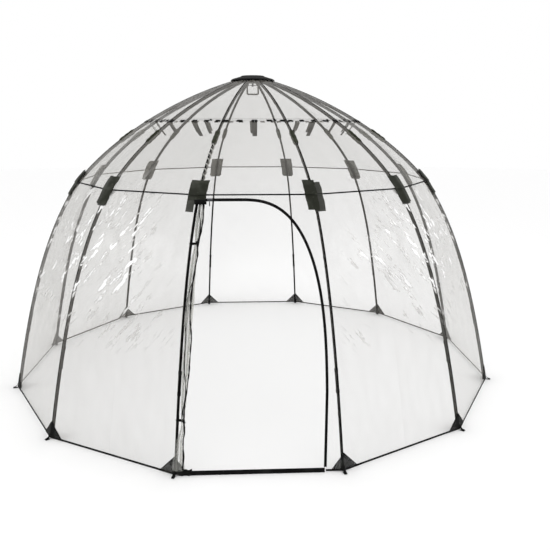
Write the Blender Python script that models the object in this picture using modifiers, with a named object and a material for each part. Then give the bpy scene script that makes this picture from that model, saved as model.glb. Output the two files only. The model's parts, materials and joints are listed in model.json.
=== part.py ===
"""Clear pop-up garden bubble tent: twelve ribs that fold like an umbrella's, under a clear film dome.

Metres, +Z up. The origin is on the ground at the middle of the tent, and the doorway faces -Y.
Each rib has an upper half, hinged on a ring in the hub, and a leg, hinged to it at a knuckle.
"""

import math

import bmesh
import bpy
from mathutils import Matrix, Vector

# Plan and height
SIDES = 12
PITCH = math.radians(360 / SIDES)
FIRST_RIB_AZIMUTH = math.radians(-75)
PIVOT_RADIUS = 0.085
PIVOT_HEIGHT = 2.225
KNUCKLE_RADIUS = 1.297
KNUCKLE_HEIGHT = 1.500
FOOT_RADIUS = 1.815

# Rib curves: slopes below the horizontal at each end, and how far each end keeps its slope,
# as a share of the straight distance between the ends
ROOF_SLOPES = (math.radians(15), math.radians(50))
ROOF_FULLNESS = (0.336, 0.297)
LEG_SLOPES = (math.radians(54), math.radians(79))
LEG_FULLNESS = (0.252, 0.441)
ROOF_POINTS = 9
LEG_POINTS = 9

# Rods and their fittings
ROD_RADIUS = 0.00635
SOCKET_RADIUS = 0.008
SOCKET_START = 0.030
SOCKET_LENGTH = 0.030
ROD_INSET = 0.002
EYE_RADIUS = 0.010
TONGUE_THICK = 0.008
TONGUE_HALF_HEIGHT = 0.0055
SLOT_CLEARANCE = 0.0005
CHEEK_THICK = 0.004
YOKE_HALF_HEIGHT = 0.006
YOKE_SLOT_DEPTH = 0.020
YOKE_LENGTH = 0.034
FORK_SOCKET_START = 0.028
PIN_RADIUS = 0.003
PIN_CLEARANCE = 0.0004
FERRULE_RADIUS = 0.011
FERRULE_LENGTH = 0.130
FERRULE_HEIGHT = 0.500
FOOT_CAP_RADIUS = 0.010
FOOT_CAP_HEIGHT = 0.030
FOOT_SOLE = 0.006

# Hub
HUB_RADIUS = 0.100
HUB_STEPS = 24
PLATE_THICK = 0.014
PLATE_GAP = 0.0003
CROWN_WIRE_RADIUS = 0.0025
CROWN_CLEARANCE = 0.0003
EYE_CLEARANCE = 0.0009
HUB_SLOT_MARGIN = 0.0015
HUB_SLOT_ROOF = 0.003
HUB_SLOT_REACH = 0.120
BOSS_RADIUS = 0.030
CAP_RADIUS = 0.165
CAP_CROWN_RADIUS = 0.088
CAP_CROWN_DROP = 0.003
CAP_SEAT_RADIUS = 0.036
CAP_SHOULDER_INSET = 0.015
CAP_SHOULDER_RISE = 0.014
CAP_SHOULDER_TUCK = 0.001
CAP_RISE = 0.037
CAP_THICK = 0.0025
CAP_LIFT = 0.034

# Lamp loop
LOOP_WIDTH = 0.087
LOOP_DROP = 0.070
LOOP_WIRE_RADIUS = 0.0025
LOOP_CORNER_RADIUS = 0.008
LUG_DROP = 0.019
LUG_RADIUS = 0.007
LUG_THICK = 0.008
LUG_HALF_WIDTH = 0.0056
LUG_CLEARANCE = 0.0007

# Film, whose offset is its inner face's distance from the line of the rods
FILM_CLEARANCE = 0.00765
FILM_OFFSET = ROD_RADIUS + FILM_CLEARANCE
FILM_THICK = 0.001
FILM_TOP_RADIUS = 0.125
FILM_GROUND_GAP = 0.002
GORE_GAP = math.radians(0.1)
SEAM_GAP = 0.0006
ROOF_FILM_POINTS = 8
WALL_FILM_POINTS = 9

# Doorway in the front gore, with its zip
DOOR_HEAD_HEIGHT = 1.480
DOOR_SPRING_HEIGHT = 0.450
DOOR_CENTRE_X = -0.100
DOOR_HALF_WIDTH = 0.483
DOOR_FULLNESS = 2.8
JAMB_LEAN = 0.015
DOOR_FOOT_X = DOOR_CENTRE_X + DOOR_HALF_WIDTH - JAMB_LEAN
OPENING_DEPTH = 0.050
ARCH_POINTS = 14
TAPE_WIDTH = 0.016
TAPE_THICK = 0.002
TAPE_GAP = 0.0004
TAPE_LEFT_X = -0.300
TAPE_FOOT_HEIGHT = 0.031
SILL_HEIGHT = 0.024
SILL_THICK = 0.003
SILL_LEFT_X = -0.450
SILL_JAMB_GAP = 0.002

# Zip slider and its pull
SLIDER_X = -0.270
SLIDER_LENGTH = 0.030
SLIDER_WIDTH = 0.014
SLIDER_THICK = 0.005
SLIDER_NOSE_SHARE = 0.55
SLIDER_TAIL_SHARE = 0.70
SLIDER_WIDE_FROM = -0.2
SLIDER_WIDE_TO = 0.6
BRIDGE_SPAN = 0.012
BRIDGE_HEIGHT = 0.0046
BRIDGE_RADIUS = 0.0012
BRIDGE_OVERHANG = 0.0005
PULL_EYE_RADIUS = 0.004
PULL_EYE_THICK = 0.003
PULL_CLEARANCE = 0.0006
PULL_LENGTH = 0.044
PULL_SHAFT_RADIUS = 0.0018
PULL_GRIP_RADIUS = 0.0032
PULL_GRIP_LENGTH = 0.026

# Gathered door film and its ties; stations are (height, radius)
CURTAIN_SIDE = 0.030
CURTAIN_STATIONS = (
    (1.462, 0.017), (1.400, 0.018), (1.310, 0.014), (1.245, 0.0095), (1.170, 0.015),
    (1.000, 0.018), (0.800, 0.018), (0.560, 0.015), (0.400, 0.014), (0.300, 0.0095),
    (0.220, 0.014), (0.120, 0.018), (0.035, 0.019),
)
TIE_HEIGHTS = (1.245, 0.300)
TIE_CORD_RADIUS = 0.0018
TIE_ROD_CLEARANCE = 0.0025
TIE_FILM_CLEARANCE = 0.0015
TOGGLE_RADIUS = 0.005
TOGGLE_LENGTH = 0.024
TOGGLE_OVERLAP = 0.002
TOGGLE_AZIMUTH = math.radians(55)

MERGE = 0.00001


def clear_scene():
    for obj in list(bpy.data.objects):
        bpy.data.objects.remove(obj)


def make_collection(name):
    collection = bpy.data.collections.new(name)
    bpy.context.scene.collection.children.link(collection)
    return collection


def make_material(name, color, roughness, metallic=0.0, alpha=1.0):
    material = bpy.data.materials.new(name)
    material.use_nodes = True
    shader = material.node_tree.nodes["Principled BSDF"]
    shader.inputs["Base Color"].default_value = (*color, 1)
    shader.inputs["Roughness"].default_value = roughness
    shader.inputs["Metallic"].default_value = metallic
    shader.inputs["Alpha"].default_value = alpha
    return material


clear_scene()
TENT = make_collection("bubble_tent")
CUTTERS = make_collection("cutters")
MATERIALS = {
    "rod": make_material("rod_sleeve", (0.02, 0.02, 0.02), 0.55),
    "plastic": make_material("black_plastic", (0.012, 0.012, 0.012), 0.45),
    "steel": make_material("ring_wire", (0.5, 0.5, 0.5), 0.3, metallic=1.0),
    "film": make_material("clear_film", (0.9, 0.9, 0.88), 0.08, alpha=0.25),
    "webbing": make_material("black_webbing", (0.015, 0.015, 0.015), 0.9),
    "loop": make_material("lamp_loop", (0.75, 0.75, 0.72), 0.6),
}


# Building helpers

def link(name, mesh, material=None, parent=None, collection=TENT):
    """Makes an object of the mesh, in the tent's collection unless told otherwise."""
    obj = bpy.data.objects.new(name, mesh)
    collection.objects.link(obj)
    if material is not None and not mesh.materials:
        mesh.materials.append(MATERIALS[material])
    obj.parent = parent
    return obj


def hide_cutter(obj):
    obj.hide_render = True
    obj.display_type = "WIRE"
    return obj


def helper(name, mesh):
    """A piece that is only joined to, or cut from, another."""
    return hide_cutter(link(name, mesh, collection=CUTTERS))


def baked(obj, name):
    """The object's shape with its modifiers applied, welded and placed, as a new mesh."""
    bpy.context.view_layer.update()
    mesh = bpy.data.meshes.new_from_object(obj.evaluated_get(bpy.context.evaluated_depsgraph_get()))
    mesh.name = name
    mesh.materials.clear()
    mesh.transform(obj.matrix_world)
    shape = bmesh.new()
    shape.from_mesh(mesh)
    bmesh.ops.remove_doubles(shape, verts=shape.verts, dist=MERGE)
    shape.to_mesh(mesh)
    shape.free()
    return mesh


def boolean(obj, operation, other):
    modifier = obj.modifiers.new(f"{operation.lower()}_{other.name}", "BOOLEAN")
    modifier.operation = operation
    modifier.solver = "EXACT"
    modifier.object = other


def united(name, meshes, cuts=()):
    """One mesh from several overlapping ones, less the cuts."""
    body = helper(f"{name}_body", meshes[0])
    for number, mesh in enumerate(meshes[1:]):
        boolean(body, "UNION", helper(f"{name}_joined_{number}", mesh))
    for number, mesh in enumerate(cuts):
        boolean(body, "DIFFERENCE", helper(f"{name}_cut_{number}", mesh))
    result = baked(body, name)
    body.modifiers.clear()
    return result


def shaded(mesh, angle=35):
    mesh.shade_smooth()
    mesh.set_sharp_from_angle(angle=math.radians(angle))
    return mesh


def tube(name, points, radius, radii=None, cyclic=False):
    """A round bar along the points, with eight sides and filled ends."""
    curve = bpy.data.curves.new(name, "CURVE")
    curve.dimensions = "3D"
    curve.bevel_depth = radius
    curve.bevel_resolution = 2
    curve.use_fill_caps = not cyclic
    spline = curve.splines.new("POLY")
    spline.points.add(len(points) - 1)
    for point, place in zip(spline.points, points):
        point.co = (*place, 1)
    if radii:
        for point, share in zip(spline.points, radii):
            point.radius = share / radius
    spline.use_cyclic_u = cyclic
    obj = bpy.data.objects.new(name, curve)
    CUTTERS.objects.link(obj)
    mesh = baked(obj, name)
    bpy.data.objects.remove(obj)
    return mesh


def flat_plate(name, outline, thickness, holes=()):
    """A plate of the outline, given as (x, z) points, centred on the XZ plane."""
    curve = bpy.data.curves.new(name, "CURVE")
    curve.dimensions = "2D"
    curve.fill_mode = "BOTH"
    curve.extrude = thickness / 2
    for loop in (outline, *holes):
        spline = curve.splines.new("POLY")
        spline.points.add(len(loop) - 1)
        for point, (x, z) in zip(spline.points, loop):
            point.co = (x, z, 0, 1)
        spline.use_cyclic_u = True
    obj = bpy.data.objects.new(name, curve)
    CUTTERS.objects.link(obj)
    obj.rotation_euler.x = math.pi / 2
    mesh = baked(obj, name)
    bpy.data.objects.remove(obj)
    return mesh


def cylinder(name, radius, length, place, axis="Z", sides=10):
    """A cylinder centred on the place, along one axis."""
    turn = {"X": Matrix.Rotation(math.pi / 2, 4, "Y"), "Y": Matrix.Rotation(math.pi / 2, 4, "X")}
    mesh = bpy.data.meshes.new(name)
    shape = bmesh.new()
    bmesh.ops.create_cone(
        shape, cap_ends=True, segments=sides, radius1=radius, radius2=radius, depth=length,
        matrix=Matrix.Translation(place) @ turn.get(axis, Matrix.Identity(4)),
    )
    shape.to_mesh(mesh)
    shape.free()
    return mesh


def box(name, low, high):
    low = Vector(low)
    high = Vector(high)
    mesh = bpy.data.meshes.new(name)
    shape = bmesh.new()
    bmesh.ops.create_cube(
        shape, size=1,
        matrix=Matrix.Translation((low + high) / 2) @ Matrix.Diagonal((*(high - low), 1)),
    )
    shape.to_mesh(mesh)
    shape.free()
    return mesh


def turned(name, profile, closed=True):
    """A solid of revolution; the (radius, height) profile runs down its outer side."""
    mesh = bpy.data.meshes.new(name)
    last = len(profile) if closed else len(profile) - 1
    edges = [(i, (i + 1) % len(profile)) for i in range(last)]
    mesh.from_pydata([(radius, 0, height) for radius, height in profile], edges, [])
    obj = helper(f"{name}_profile", mesh)
    screw = obj.modifiers.new("turn", "SCREW")
    screw.steps = HUB_STEPS
    screw.render_steps = HUB_STEPS
    screw.use_merge_vertices = True
    screw.merge_threshold = MERGE
    result = baked(obj, name)
    bpy.data.objects.remove(obj)
    return result


# Rib curves, as (radius, height) in the plane of a rib

def slope_vector(slope):
    return Vector((math.cos(slope), -math.sin(slope)))


def curve_between(start, end, slopes, fullness):
    """A function from 0..1 to a point of the cubic curve, and to the direction along it."""
    span = (end - start).length
    control = (
        start,
        start + slope_vector(slopes[0]) * span * fullness[0],
        end - slope_vector(slopes[1]) * span * fullness[1],
        end,
    )

    def point(t):
        s = 1 - t
        return (
            s * s * s * control[0] + 3 * s * s * t * control[1]
            + 3 * s * t * t * control[2] + t * t * t * control[3]
        )

    def direction(t):
        s = 1 - t
        return (
            s * s * (control[1] - control[0]) + 2 * s * t * (control[2] - control[1])
            + t * t * (control[3] - control[2])
        ).normalized()

    return point, direction


PIVOT = Vector((PIVOT_RADIUS, PIVOT_HEIGHT))
KNUCKLE = Vector((KNUCKLE_RADIUS, KNUCKLE_HEIGHT))
FOOT = Vector((FOOT_RADIUS, 0.0))
ROOF_CURVE = curve_between(PIVOT, KNUCKLE, ROOF_SLOPES, ROOF_FULLNESS)
LEG_CURVE = curve_between(KNUCKLE, FOOT, LEG_SLOPES, LEG_FULLNESS)


def parameter_where(curve, test):
    """The first place along the curve, from 0 to 1, where the test of the point holds."""
    low, high = 0.0, 1.0
    for _ in range(40):
        middle = (low + high) / 2
        if test(curve[0](middle)):
            high = middle
        else:
            low = middle
    return high


def stretch(curve, start, end, count):
    return [curve[0](start + (end - start) * i / (count - 1)) for i in range(count)]


def offset_stretch(curve, start, end, count, offset):
    """Points of the curve moved outward, square to it."""
    points = []
    for i in range(count):
        t = start + (end - start) * i / (count - 1)
        along = curve[1](t)
        points.append(curve[0](t) + offset * Vector((-along.y, along.x)))
    return points


def in_rib_plane(points, origin):
    """3-D points, with the rib's plane as XZ and the hinge's axis through the origin."""
    return [(p.x - origin.x, 0, p.y - origin.y) for p in points]


def eye_outline(direction, radius, half_height, length, steps=8):
    """The side view of an eye with a bar that leaves it along the direction."""
    across = Vector((-direction.y, direction.x))
    opening = math.asin(half_height / radius)
    outline = []
    for i in range(steps + 1):
        angle = opening + (2 * math.pi - 2 * opening) * i / steps
        outline.append(direction * radius * math.cos(angle) + across * radius * math.sin(angle))
    outline.append(direction * length - across * half_height)
    outline.append(direction * length + across * half_height)
    return [tuple(p) for p in outline]


def circle_outline(radius, steps=10):
    return [
        (radius * math.cos(2 * math.pi * i / steps), radius * math.sin(2 * math.pi * i / steps))
        for i in range(steps)
    ]


def socket_tube(name, curve, origin, start, end, radius, count=3):
    return tube(name, in_rib_plane(stretch(curve, start, end, count), origin), radius)


def tongue_and_rod(name, curve, origin, hole_radius):
    """The meshes of a hinge tongue and of the socket that grips the rod beyond it."""
    direction = curve[1](0)
    socket_end = SOCKET_START + SOCKET_LENGTH
    plate = flat_plate(
        f"{name}_tongue",
        eye_outline(direction, EYE_RADIUS, TONGUE_HALF_HEIGHT, SOCKET_START + SOCKET_LENGTH / 3),
        TONGUE_THICK, holes=(circle_outline(hole_radius),),
    )
    near = parameter_where(curve, lambda p: (p - origin).length > SOCKET_START)
    far = parameter_where(curve, lambda p: (p - origin).length > socket_end)
    socket = socket_tube(f"{name}_socket", curve, origin, near, far, SOCKET_RADIUS)
    return [socket, plate], near


# Ribs

def upper_rib_mesh():
    eye_hole = CROWN_WIRE_RADIUS + EYE_CLEARANCE
    meshes, rod_start = tongue_and_rod("upper_rib", ROOF_CURVE, PIVOT, eye_hole)
    back = -ROOF_CURVE[1](1)
    yoke_width = TONGUE_THICK + 2 * SLOT_CLEARANCE + 2 * CHEEK_THICK
    to_knuckle = Vector((KNUCKLE.x - PIVOT.x, 0, KNUCKLE.y - PIVOT.y))
    yoke = flat_plate(
        "yoke", eye_outline(back, EYE_RADIUS, YOKE_HALF_HEIGHT, YOKE_LENGTH), yoke_width
    )
    slot_width = TONGUE_THICK + 2 * SLOT_CLEARANCE
    slot = box(
        "yoke_slot", (-YOKE_SLOT_DEPTH, -slot_width / 2, -2 * EYE_RADIUS),
        (2 * EYE_RADIUS, slot_width / 2, 2 * EYE_RADIUS),
    )
    slot.transform(Matrix.Rotation(ROOF_SLOPES[1], 4, "Y"))
    pin = cylinder("knuckle_pin", PIN_RADIUS, yoke_width - CHEEK_THICK, (0, 0, 0), "Y")
    fork = united("fork", [yoke], [slot])
    fork = united("fork_with_pin", [fork, pin])
    fork.transform(Matrix.Translation(to_knuckle))
    near = parameter_where(ROOF_CURVE, lambda p: (p - KNUCKLE).length < FORK_SOCKET_START)
    far = parameter_where(
        ROOF_CURVE, lambda p: (p - KNUCKLE).length < SOCKET_START + SOCKET_LENGTH
    )
    grip = socket_tube("fork_socket", ROOF_CURVE, PIVOT, far, near, SOCKET_RADIUS)
    rod = tube(
        "upper_rod",
        in_rib_plane(stretch(ROOF_CURVE, rod_start + ROD_INSET, near - ROD_INSET, ROOF_POINTS), PIVOT),
        ROD_RADIUS,
    )
    return shaded(united("upper_rib", [rod, *meshes, grip, fork]))


def leg_mesh():
    meshes, rod_start = tongue_and_rod("leg", LEG_CURVE, KNUCKLE, PIN_RADIUS + PIN_CLEARANCE)
    sole = parameter_where(LEG_CURVE, lambda p: p.y < FOOT_SOLE)
    ferrule_top = parameter_where(
        LEG_CURVE, lambda p: p.y < FERRULE_HEIGHT + FERRULE_LENGTH / 2
    )
    ferrule_foot = parameter_where(
        LEG_CURVE, lambda p: p.y < FERRULE_HEIGHT - FERRULE_LENGTH / 2
    )
    ferrule = socket_tube(
        "ferrule", LEG_CURVE, KNUCKLE, ferrule_top, ferrule_foot, FERRULE_RADIUS
    )
    rod = tube(
        "leg_rod",
        in_rib_plane(stretch(LEG_CURVE, rod_start + ROD_INSET, sole, LEG_POINTS), KNUCKLE),
        ROD_RADIUS,
    )
    cap_radius = LEG_CURVE[0](parameter_where(LEG_CURVE, lambda p: p.y < FOOT_CAP_HEIGHT / 2)).x
    cap = cylinder(
        "foot_cap", FOOT_CAP_RADIUS, FOOT_CAP_HEIGHT,
        (cap_radius - KNUCKLE.x, 0, FOOT_CAP_HEIGHT / 2 - KNUCKLE.y), sides=16,
    )
    return shaded(united("leg", [rod, *meshes, ferrule, cap]))


# Film

def spun_surface(name, profile, origin, start_gap):
    """The strip between two ribs that a profile sweeps, flat across, and facing outward."""
    mesh = bpy.data.meshes.new(name)
    shape = bmesh.new()
    verts = [shape.verts.new((p.x, 0, p.y)) for p in profile]
    edges = [shape.edges.new(pair) for pair in zip(verts, verts[1:])]
    bmesh.ops.rotate(shape, verts=verts, cent=(0, 0, 0), matrix=Matrix.Rotation(start_gap / 2, 3, "Z"))
    bmesh.ops.spin(
        shape, geom=verts + edges, cent=(0, 0, 0), axis=(0, 0, 1), dvec=(0, 0, 0),
        angle=PITCH - start_gap, steps=1,
    )
    shape.normal_update()
    inward = [f for f in shape.faces if f.normal.dot(f.calc_center_median()) < 0]
    bmesh.ops.reverse_faces(shape, faces=inward)
    bmesh.ops.translate(shape, verts=shape.verts, vec=(-origin.x, 0, -origin.y))
    shape.to_mesh(mesh)
    shape.free()
    return mesh


def thicken(obj, thickness):
    modifier = obj.modifiers.new("thickness", "SOLIDIFY")
    modifier.thickness = thickness
    modifier.offset = 1
    modifier.use_even_offset = True


def roof_profile():
    start = parameter_where(ROOF_CURVE, lambda p: p.x > FILM_TOP_RADIUS)
    points = offset_stretch(ROOF_CURVE, start, 1, ROOF_FILM_POINTS, FILM_OFFSET)
    points[-1] = points[-1] - ROOF_CURVE[1](1) * SEAM_GAP
    return points


def wall_profile(offset=FILM_OFFSET, low=FILM_GROUND_GAP, high=None):
    """The wall's profile between two heights, at an offset outside the leg's line."""
    start = 0.0
    if high is not None:
        start = parameter_where(LEG_CURVE, lambda p: p.y < high)
    count = WALL_FILM_POINTS if high is None or high > KNUCKLE_HEIGHT / 2 else 2
    points = offset_stretch(LEG_CURVE, start, 1, count, offset)
    if high is None:
        points[0] = points[0] + LEG_CURVE[1](0) * SEAM_GAP
    last = LEG_CURVE[1](1)
    points[-1] = points[-1] + last * (points[-1].y - low) / -last.y
    return points


# Doorway

def arch_path(left, foot_height):
    """The door's edge as (x, z): along the head from the left, then down the right side."""
    path = [(left, DOOR_HEAD_HEIGHT)]
    rise = DOOR_HEAD_HEIGHT - DOOR_SPRING_HEIGHT
    power = 2 / DOOR_FULLNESS
    for i in range(ARCH_POINTS):
        angle = math.pi / 2 * i / (ARCH_POINTS - 1)
        path.append((
            DOOR_CENTRE_X + DOOR_HALF_WIDTH * math.sin(angle) ** power,
            DOOR_SPRING_HEIGHT + rise * max(math.cos(angle), 0) ** power,
        ))
    path.append((jamb_x(foot_height), foot_height))
    return [Vector(p) for p in path]


def jamb_x(height):
    """The right side's x below the spring line, where it leans in to the foot."""
    top = DOOR_CENTRE_X + DOOR_HALF_WIDTH
    return DOOR_FOOT_X + (top - DOOR_FOOT_X) * height / DOOR_SPRING_HEIGHT


def beside(path, distance):
    """The path moved to its right by the distance."""
    moved = []
    for i, point in enumerate(path):
        along = (path[min(i + 1, len(path) - 1)] - path[max(i - 1, 0)]).normalized()
        moved.append(point + distance * Vector((along.y, -along.x)))
    return moved


def front_prism(name, outline):
    """A block of the (x, z) outline that runs through the front gore only."""
    depth = FOOT_RADIUS
    mesh = flat_plate(name, [tuple(p) for p in outline], depth)
    mesh.transform(Matrix.Translation((0, -depth / 2 - KNUCKLE_RADIUS / 2, 0)))
    return mesh


def door_surface(x, z, lift):
    """The point at x and z on the front gore, lifted outward, and its outward and upward ways."""
    t = parameter_where(LEG_CURVE, lambda p: p.y < z)
    flat = math.cos(PITCH / 2)
    down = LEG_CURVE[1](t)
    up_way = Vector((0, down.x * flat, -down.y)).normalized()
    out_way = Vector((0, -up_way.z, up_way.y))
    centre = LEG_CURVE[0](t)
    point = Vector((x, -centre.x * flat, centre.y)) + out_way * lift
    # Sliding along the surface brings the lifted point back to its height.
    return point + up_way * (z - point.z) / up_way.z, out_way, up_way


# Hub

def add_hub():
    plate_profile_radii = (PIVOT_RADIUS - CROWN_WIRE_RADIUS - CROWN_CLEARANCE,
                           PIVOT_RADIUS + CROWN_WIRE_RADIUS + CROWN_CLEARANCE)
    groove = CROWN_WIRE_RADIUS + CROWN_CLEARANCE
    top = PIVOT_HEIGHT + PLATE_THICK
    split = PIVOT_HEIGHT + PLATE_GAP / 2
    cap_underside = PIVOT_HEIGHT + CAP_LIFT
    upper = turned("upper_plate_blank", [
        (0, cap_underside - PLATE_GAP), (BOSS_RADIUS, cap_underside - PLATE_GAP),
        (BOSS_RADIUS, top), (HUB_RADIUS, top), (HUB_RADIUS, split),
        (plate_profile_radii[1], split), (plate_profile_radii[1], PIVOT_HEIGHT + groove),
        (plate_profile_radii[0], PIVOT_HEIGHT + groove), (plate_profile_radii[0], split),
        (0, split),
    ], closed=False)
    bottom = PIVOT_HEIGHT - PLATE_THICK
    split = PIVOT_HEIGHT - PLATE_GAP / 2
    lower = turned("lower_plate_blank", [
        (0, split), (plate_profile_radii[0], split),
        (plate_profile_radii[0], PIVOT_HEIGHT - groove),
        (plate_profile_radii[1], PIVOT_HEIGHT - groove), (plate_profile_radii[1], split),
        (HUB_RADIUS, split), (HUB_RADIUS, bottom), (0, bottom),
    ], closed=False)

    slot_inner = PIVOT_RADIUS - EYE_RADIUS - HUB_SLOT_MARGIN
    slot_half = TONGUE_THICK / 2 + 2 * SLOT_CLEARANCE
    upper_cuts = []
    lower_cuts = []
    for number in range(SIDES):
        turn = Matrix.Rotation(FIRST_RIB_AZIMUTH + number * PITCH, 4, "Z")
        cut = box(
            "upper_slot", (slot_inner, -slot_half, PIVOT_HEIGHT - PLATE_THICK),
            (HUB_SLOT_REACH, slot_half, PIVOT_HEIGHT + PLATE_THICK - HUB_SLOT_ROOF),
        )
        cut.transform(turn)
        upper_cuts.append(cut)
        cut = box(
            "lower_slot", (slot_inner, -slot_half, PIVOT_HEIGHT - 2 * PLATE_THICK),
            (HUB_SLOT_REACH, slot_half, PIVOT_HEIGHT + PLATE_THICK),
        )
        cut.transform(turn)
        lower_cuts.append(cut)
    link("hub_upper_plate", shaded(united("hub_upper_plate", [upper], upper_cuts)), "plastic")

    lug_centre = bottom - LUG_DROP
    lug_outline = eye_outline(Vector((0, 1)), LUG_RADIUS, LUG_HALF_WIDTH, LUG_DROP + PLATE_THICK / 2)
    lug = flat_plate(
        "lamp_lug", lug_outline, LUG_THICK,
        holes=(circle_outline(LOOP_WIRE_RADIUS + LUG_CLEARANCE),),
    )
    lug.transform(Matrix.Translation((0, 0, lug_centre)) @ Matrix.Rotation(math.pi / 2, 4, "Z"))
    slotted = united("lower_plate_slotted", [lower], lower_cuts)
    link("hub_lower_plate", shaded(united("hub_lower_plate", [slotted, lug])), "plastic")

    ring_points = []
    for i in range(HUB_STEPS):
        angle = 2 * math.pi * i / HUB_STEPS
        ring_points.append((PIVOT_RADIUS * math.cos(angle), PIVOT_RADIUS * math.sin(angle), PIVOT_HEIGHT))
    ring = tube("crown_ring", ring_points, CROWN_WIRE_RADIUS, cyclic=True)
    link("crown_ring", shaded(ring), "steel")

    rim = cap_underside + CAP_THICK - CAP_RISE
    shoulder = (CAP_RADIUS - CAP_SHOULDER_INSET, rim + CAP_SHOULDER_RISE)
    cap = turned("top_cap", [
        (0, cap_underside + CAP_THICK), (CAP_CROWN_RADIUS, cap_underside + CAP_THICK - CAP_CROWN_DROP),
        shoulder, (CAP_RADIUS, rim + CAP_THICK), (CAP_RADIUS, rim),
        (CAP_RADIUS - CAP_THICK, rim), (shoulder[0] - CAP_SHOULDER_TUCK, shoulder[1] - CAP_THICK),
        (CAP_CROWN_RADIUS, cap_underside - CAP_CROWN_DROP), (CAP_SEAT_RADIUS, cap_underside),
        (0, cap_underside),
    ], closed=False)
    link("top_cap", shaded(cap, 20), "plastic")

    half = LOOP_WIDTH / 2 - LOOP_WIRE_RADIUS
    low = lug_centre - LOOP_DROP + 2 * LOOP_WIRE_RADIUS
    loop_points = []
    corners = ((half, lug_centre, 0), (half, low, -90), (-half, low, 180), (-half, lug_centre, 90))
    for x, z, start in corners:
        centre_x = x - math.copysign(LOOP_CORNER_RADIUS, x)
        centre_z = z - LOOP_CORNER_RADIUS if z == lug_centre else z + LOOP_CORNER_RADIUS
        for step in range(4):
            angle = math.radians(start + 90 - 30 * step)
            loop_points.append((
                centre_x + LOOP_CORNER_RADIUS * math.cos(angle), 0,
                centre_z + LOOP_CORNER_RADIUS * math.sin(angle),
            ))
    loop = tube("lamp_loop", loop_points, LOOP_WIRE_RADIUS, cyclic=True)
    loop.transform(Matrix.Translation((0, 0, -lug_centre)))
    hinge = add_empty("lamp_loop_hinge", (0, 0, lug_centre), 0)
    link("lamp_loop", shaded(loop), "loop", hinge)


def add_empty(name, place, azimuth, parent=None):
    empty = bpy.data.objects.new(name, None)
    TENT.objects.link(empty)
    empty.empty_display_size = 0.05
    empty.parent = parent
    empty.location = place
    empty.rotation_euler.z = azimuth
    return empty


# The door's pieces ride on the leg to the left of the doorway.

def cut_by(obj, operation, name, mesh):
    boolean(obj, operation, helper(name, mesh))


def add_door(leg_hinge, front_gore):
    opening = arch_path(-FOOT_RADIUS / 2, -OPENING_DEPTH)
    opening.append(Vector((-FOOT_RADIUS / 2, -OPENING_DEPTH)))
    cut_by(front_gore, "DIFFERENCE", "doorway_cutter", front_prism("doorway", opening))

    # Zip tape, on the outside of the film and half over the opening
    path = arch_path(TAPE_LEFT_X, TAPE_FOOT_HEIGHT)
    band = beside(path, TAPE_WIDTH / 2) + beside(path, -TAPE_WIDTH / 2)[::-1]
    base = FILM_OFFSET + FILM_THICK + TAPE_GAP
    surface = spun_surface(
        "zip_tape", wall_profile(base, TAPE_FOOT_HEIGHT / 2), KNUCKLE, 4 * GORE_GAP
    )
    tape = link("zip_tape", surface, "webbing", leg_hinge)
    thicken(tape, TAPE_THICK)
    cut_by(tape, "INTERSECT", "zip_tape_cutter", front_prism("zip_band", band))

    # Threshold strap, between the left foot and the right jamb
    surface = spun_surface(
        "door_sill",
        wall_profile(
            FILM_OFFSET + FILM_THICK - SILL_THICK, FILM_GROUND_GAP, FILM_GROUND_GAP + SILL_HEIGHT
        ),
        KNUCKLE, GORE_GAP,
    )
    sill = link("door_sill", surface, "webbing", leg_hinge)
    thicken(sill, SILL_THICK)
    length = box(
        "sill_length", (SILL_LEFT_X, -2 * FOOT_RADIUS, -SILL_HEIGHT),
        (jamb_x(0) - SILL_JAMB_GAP, -FOOT_RADIUS / 2, 3 * SILL_HEIGHT),
    )
    cut_by(sill, "INTERSECT", "door_sill_cutter", length)
    add_zip(leg_hinge)
    add_curtain(leg_hinge)


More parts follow.
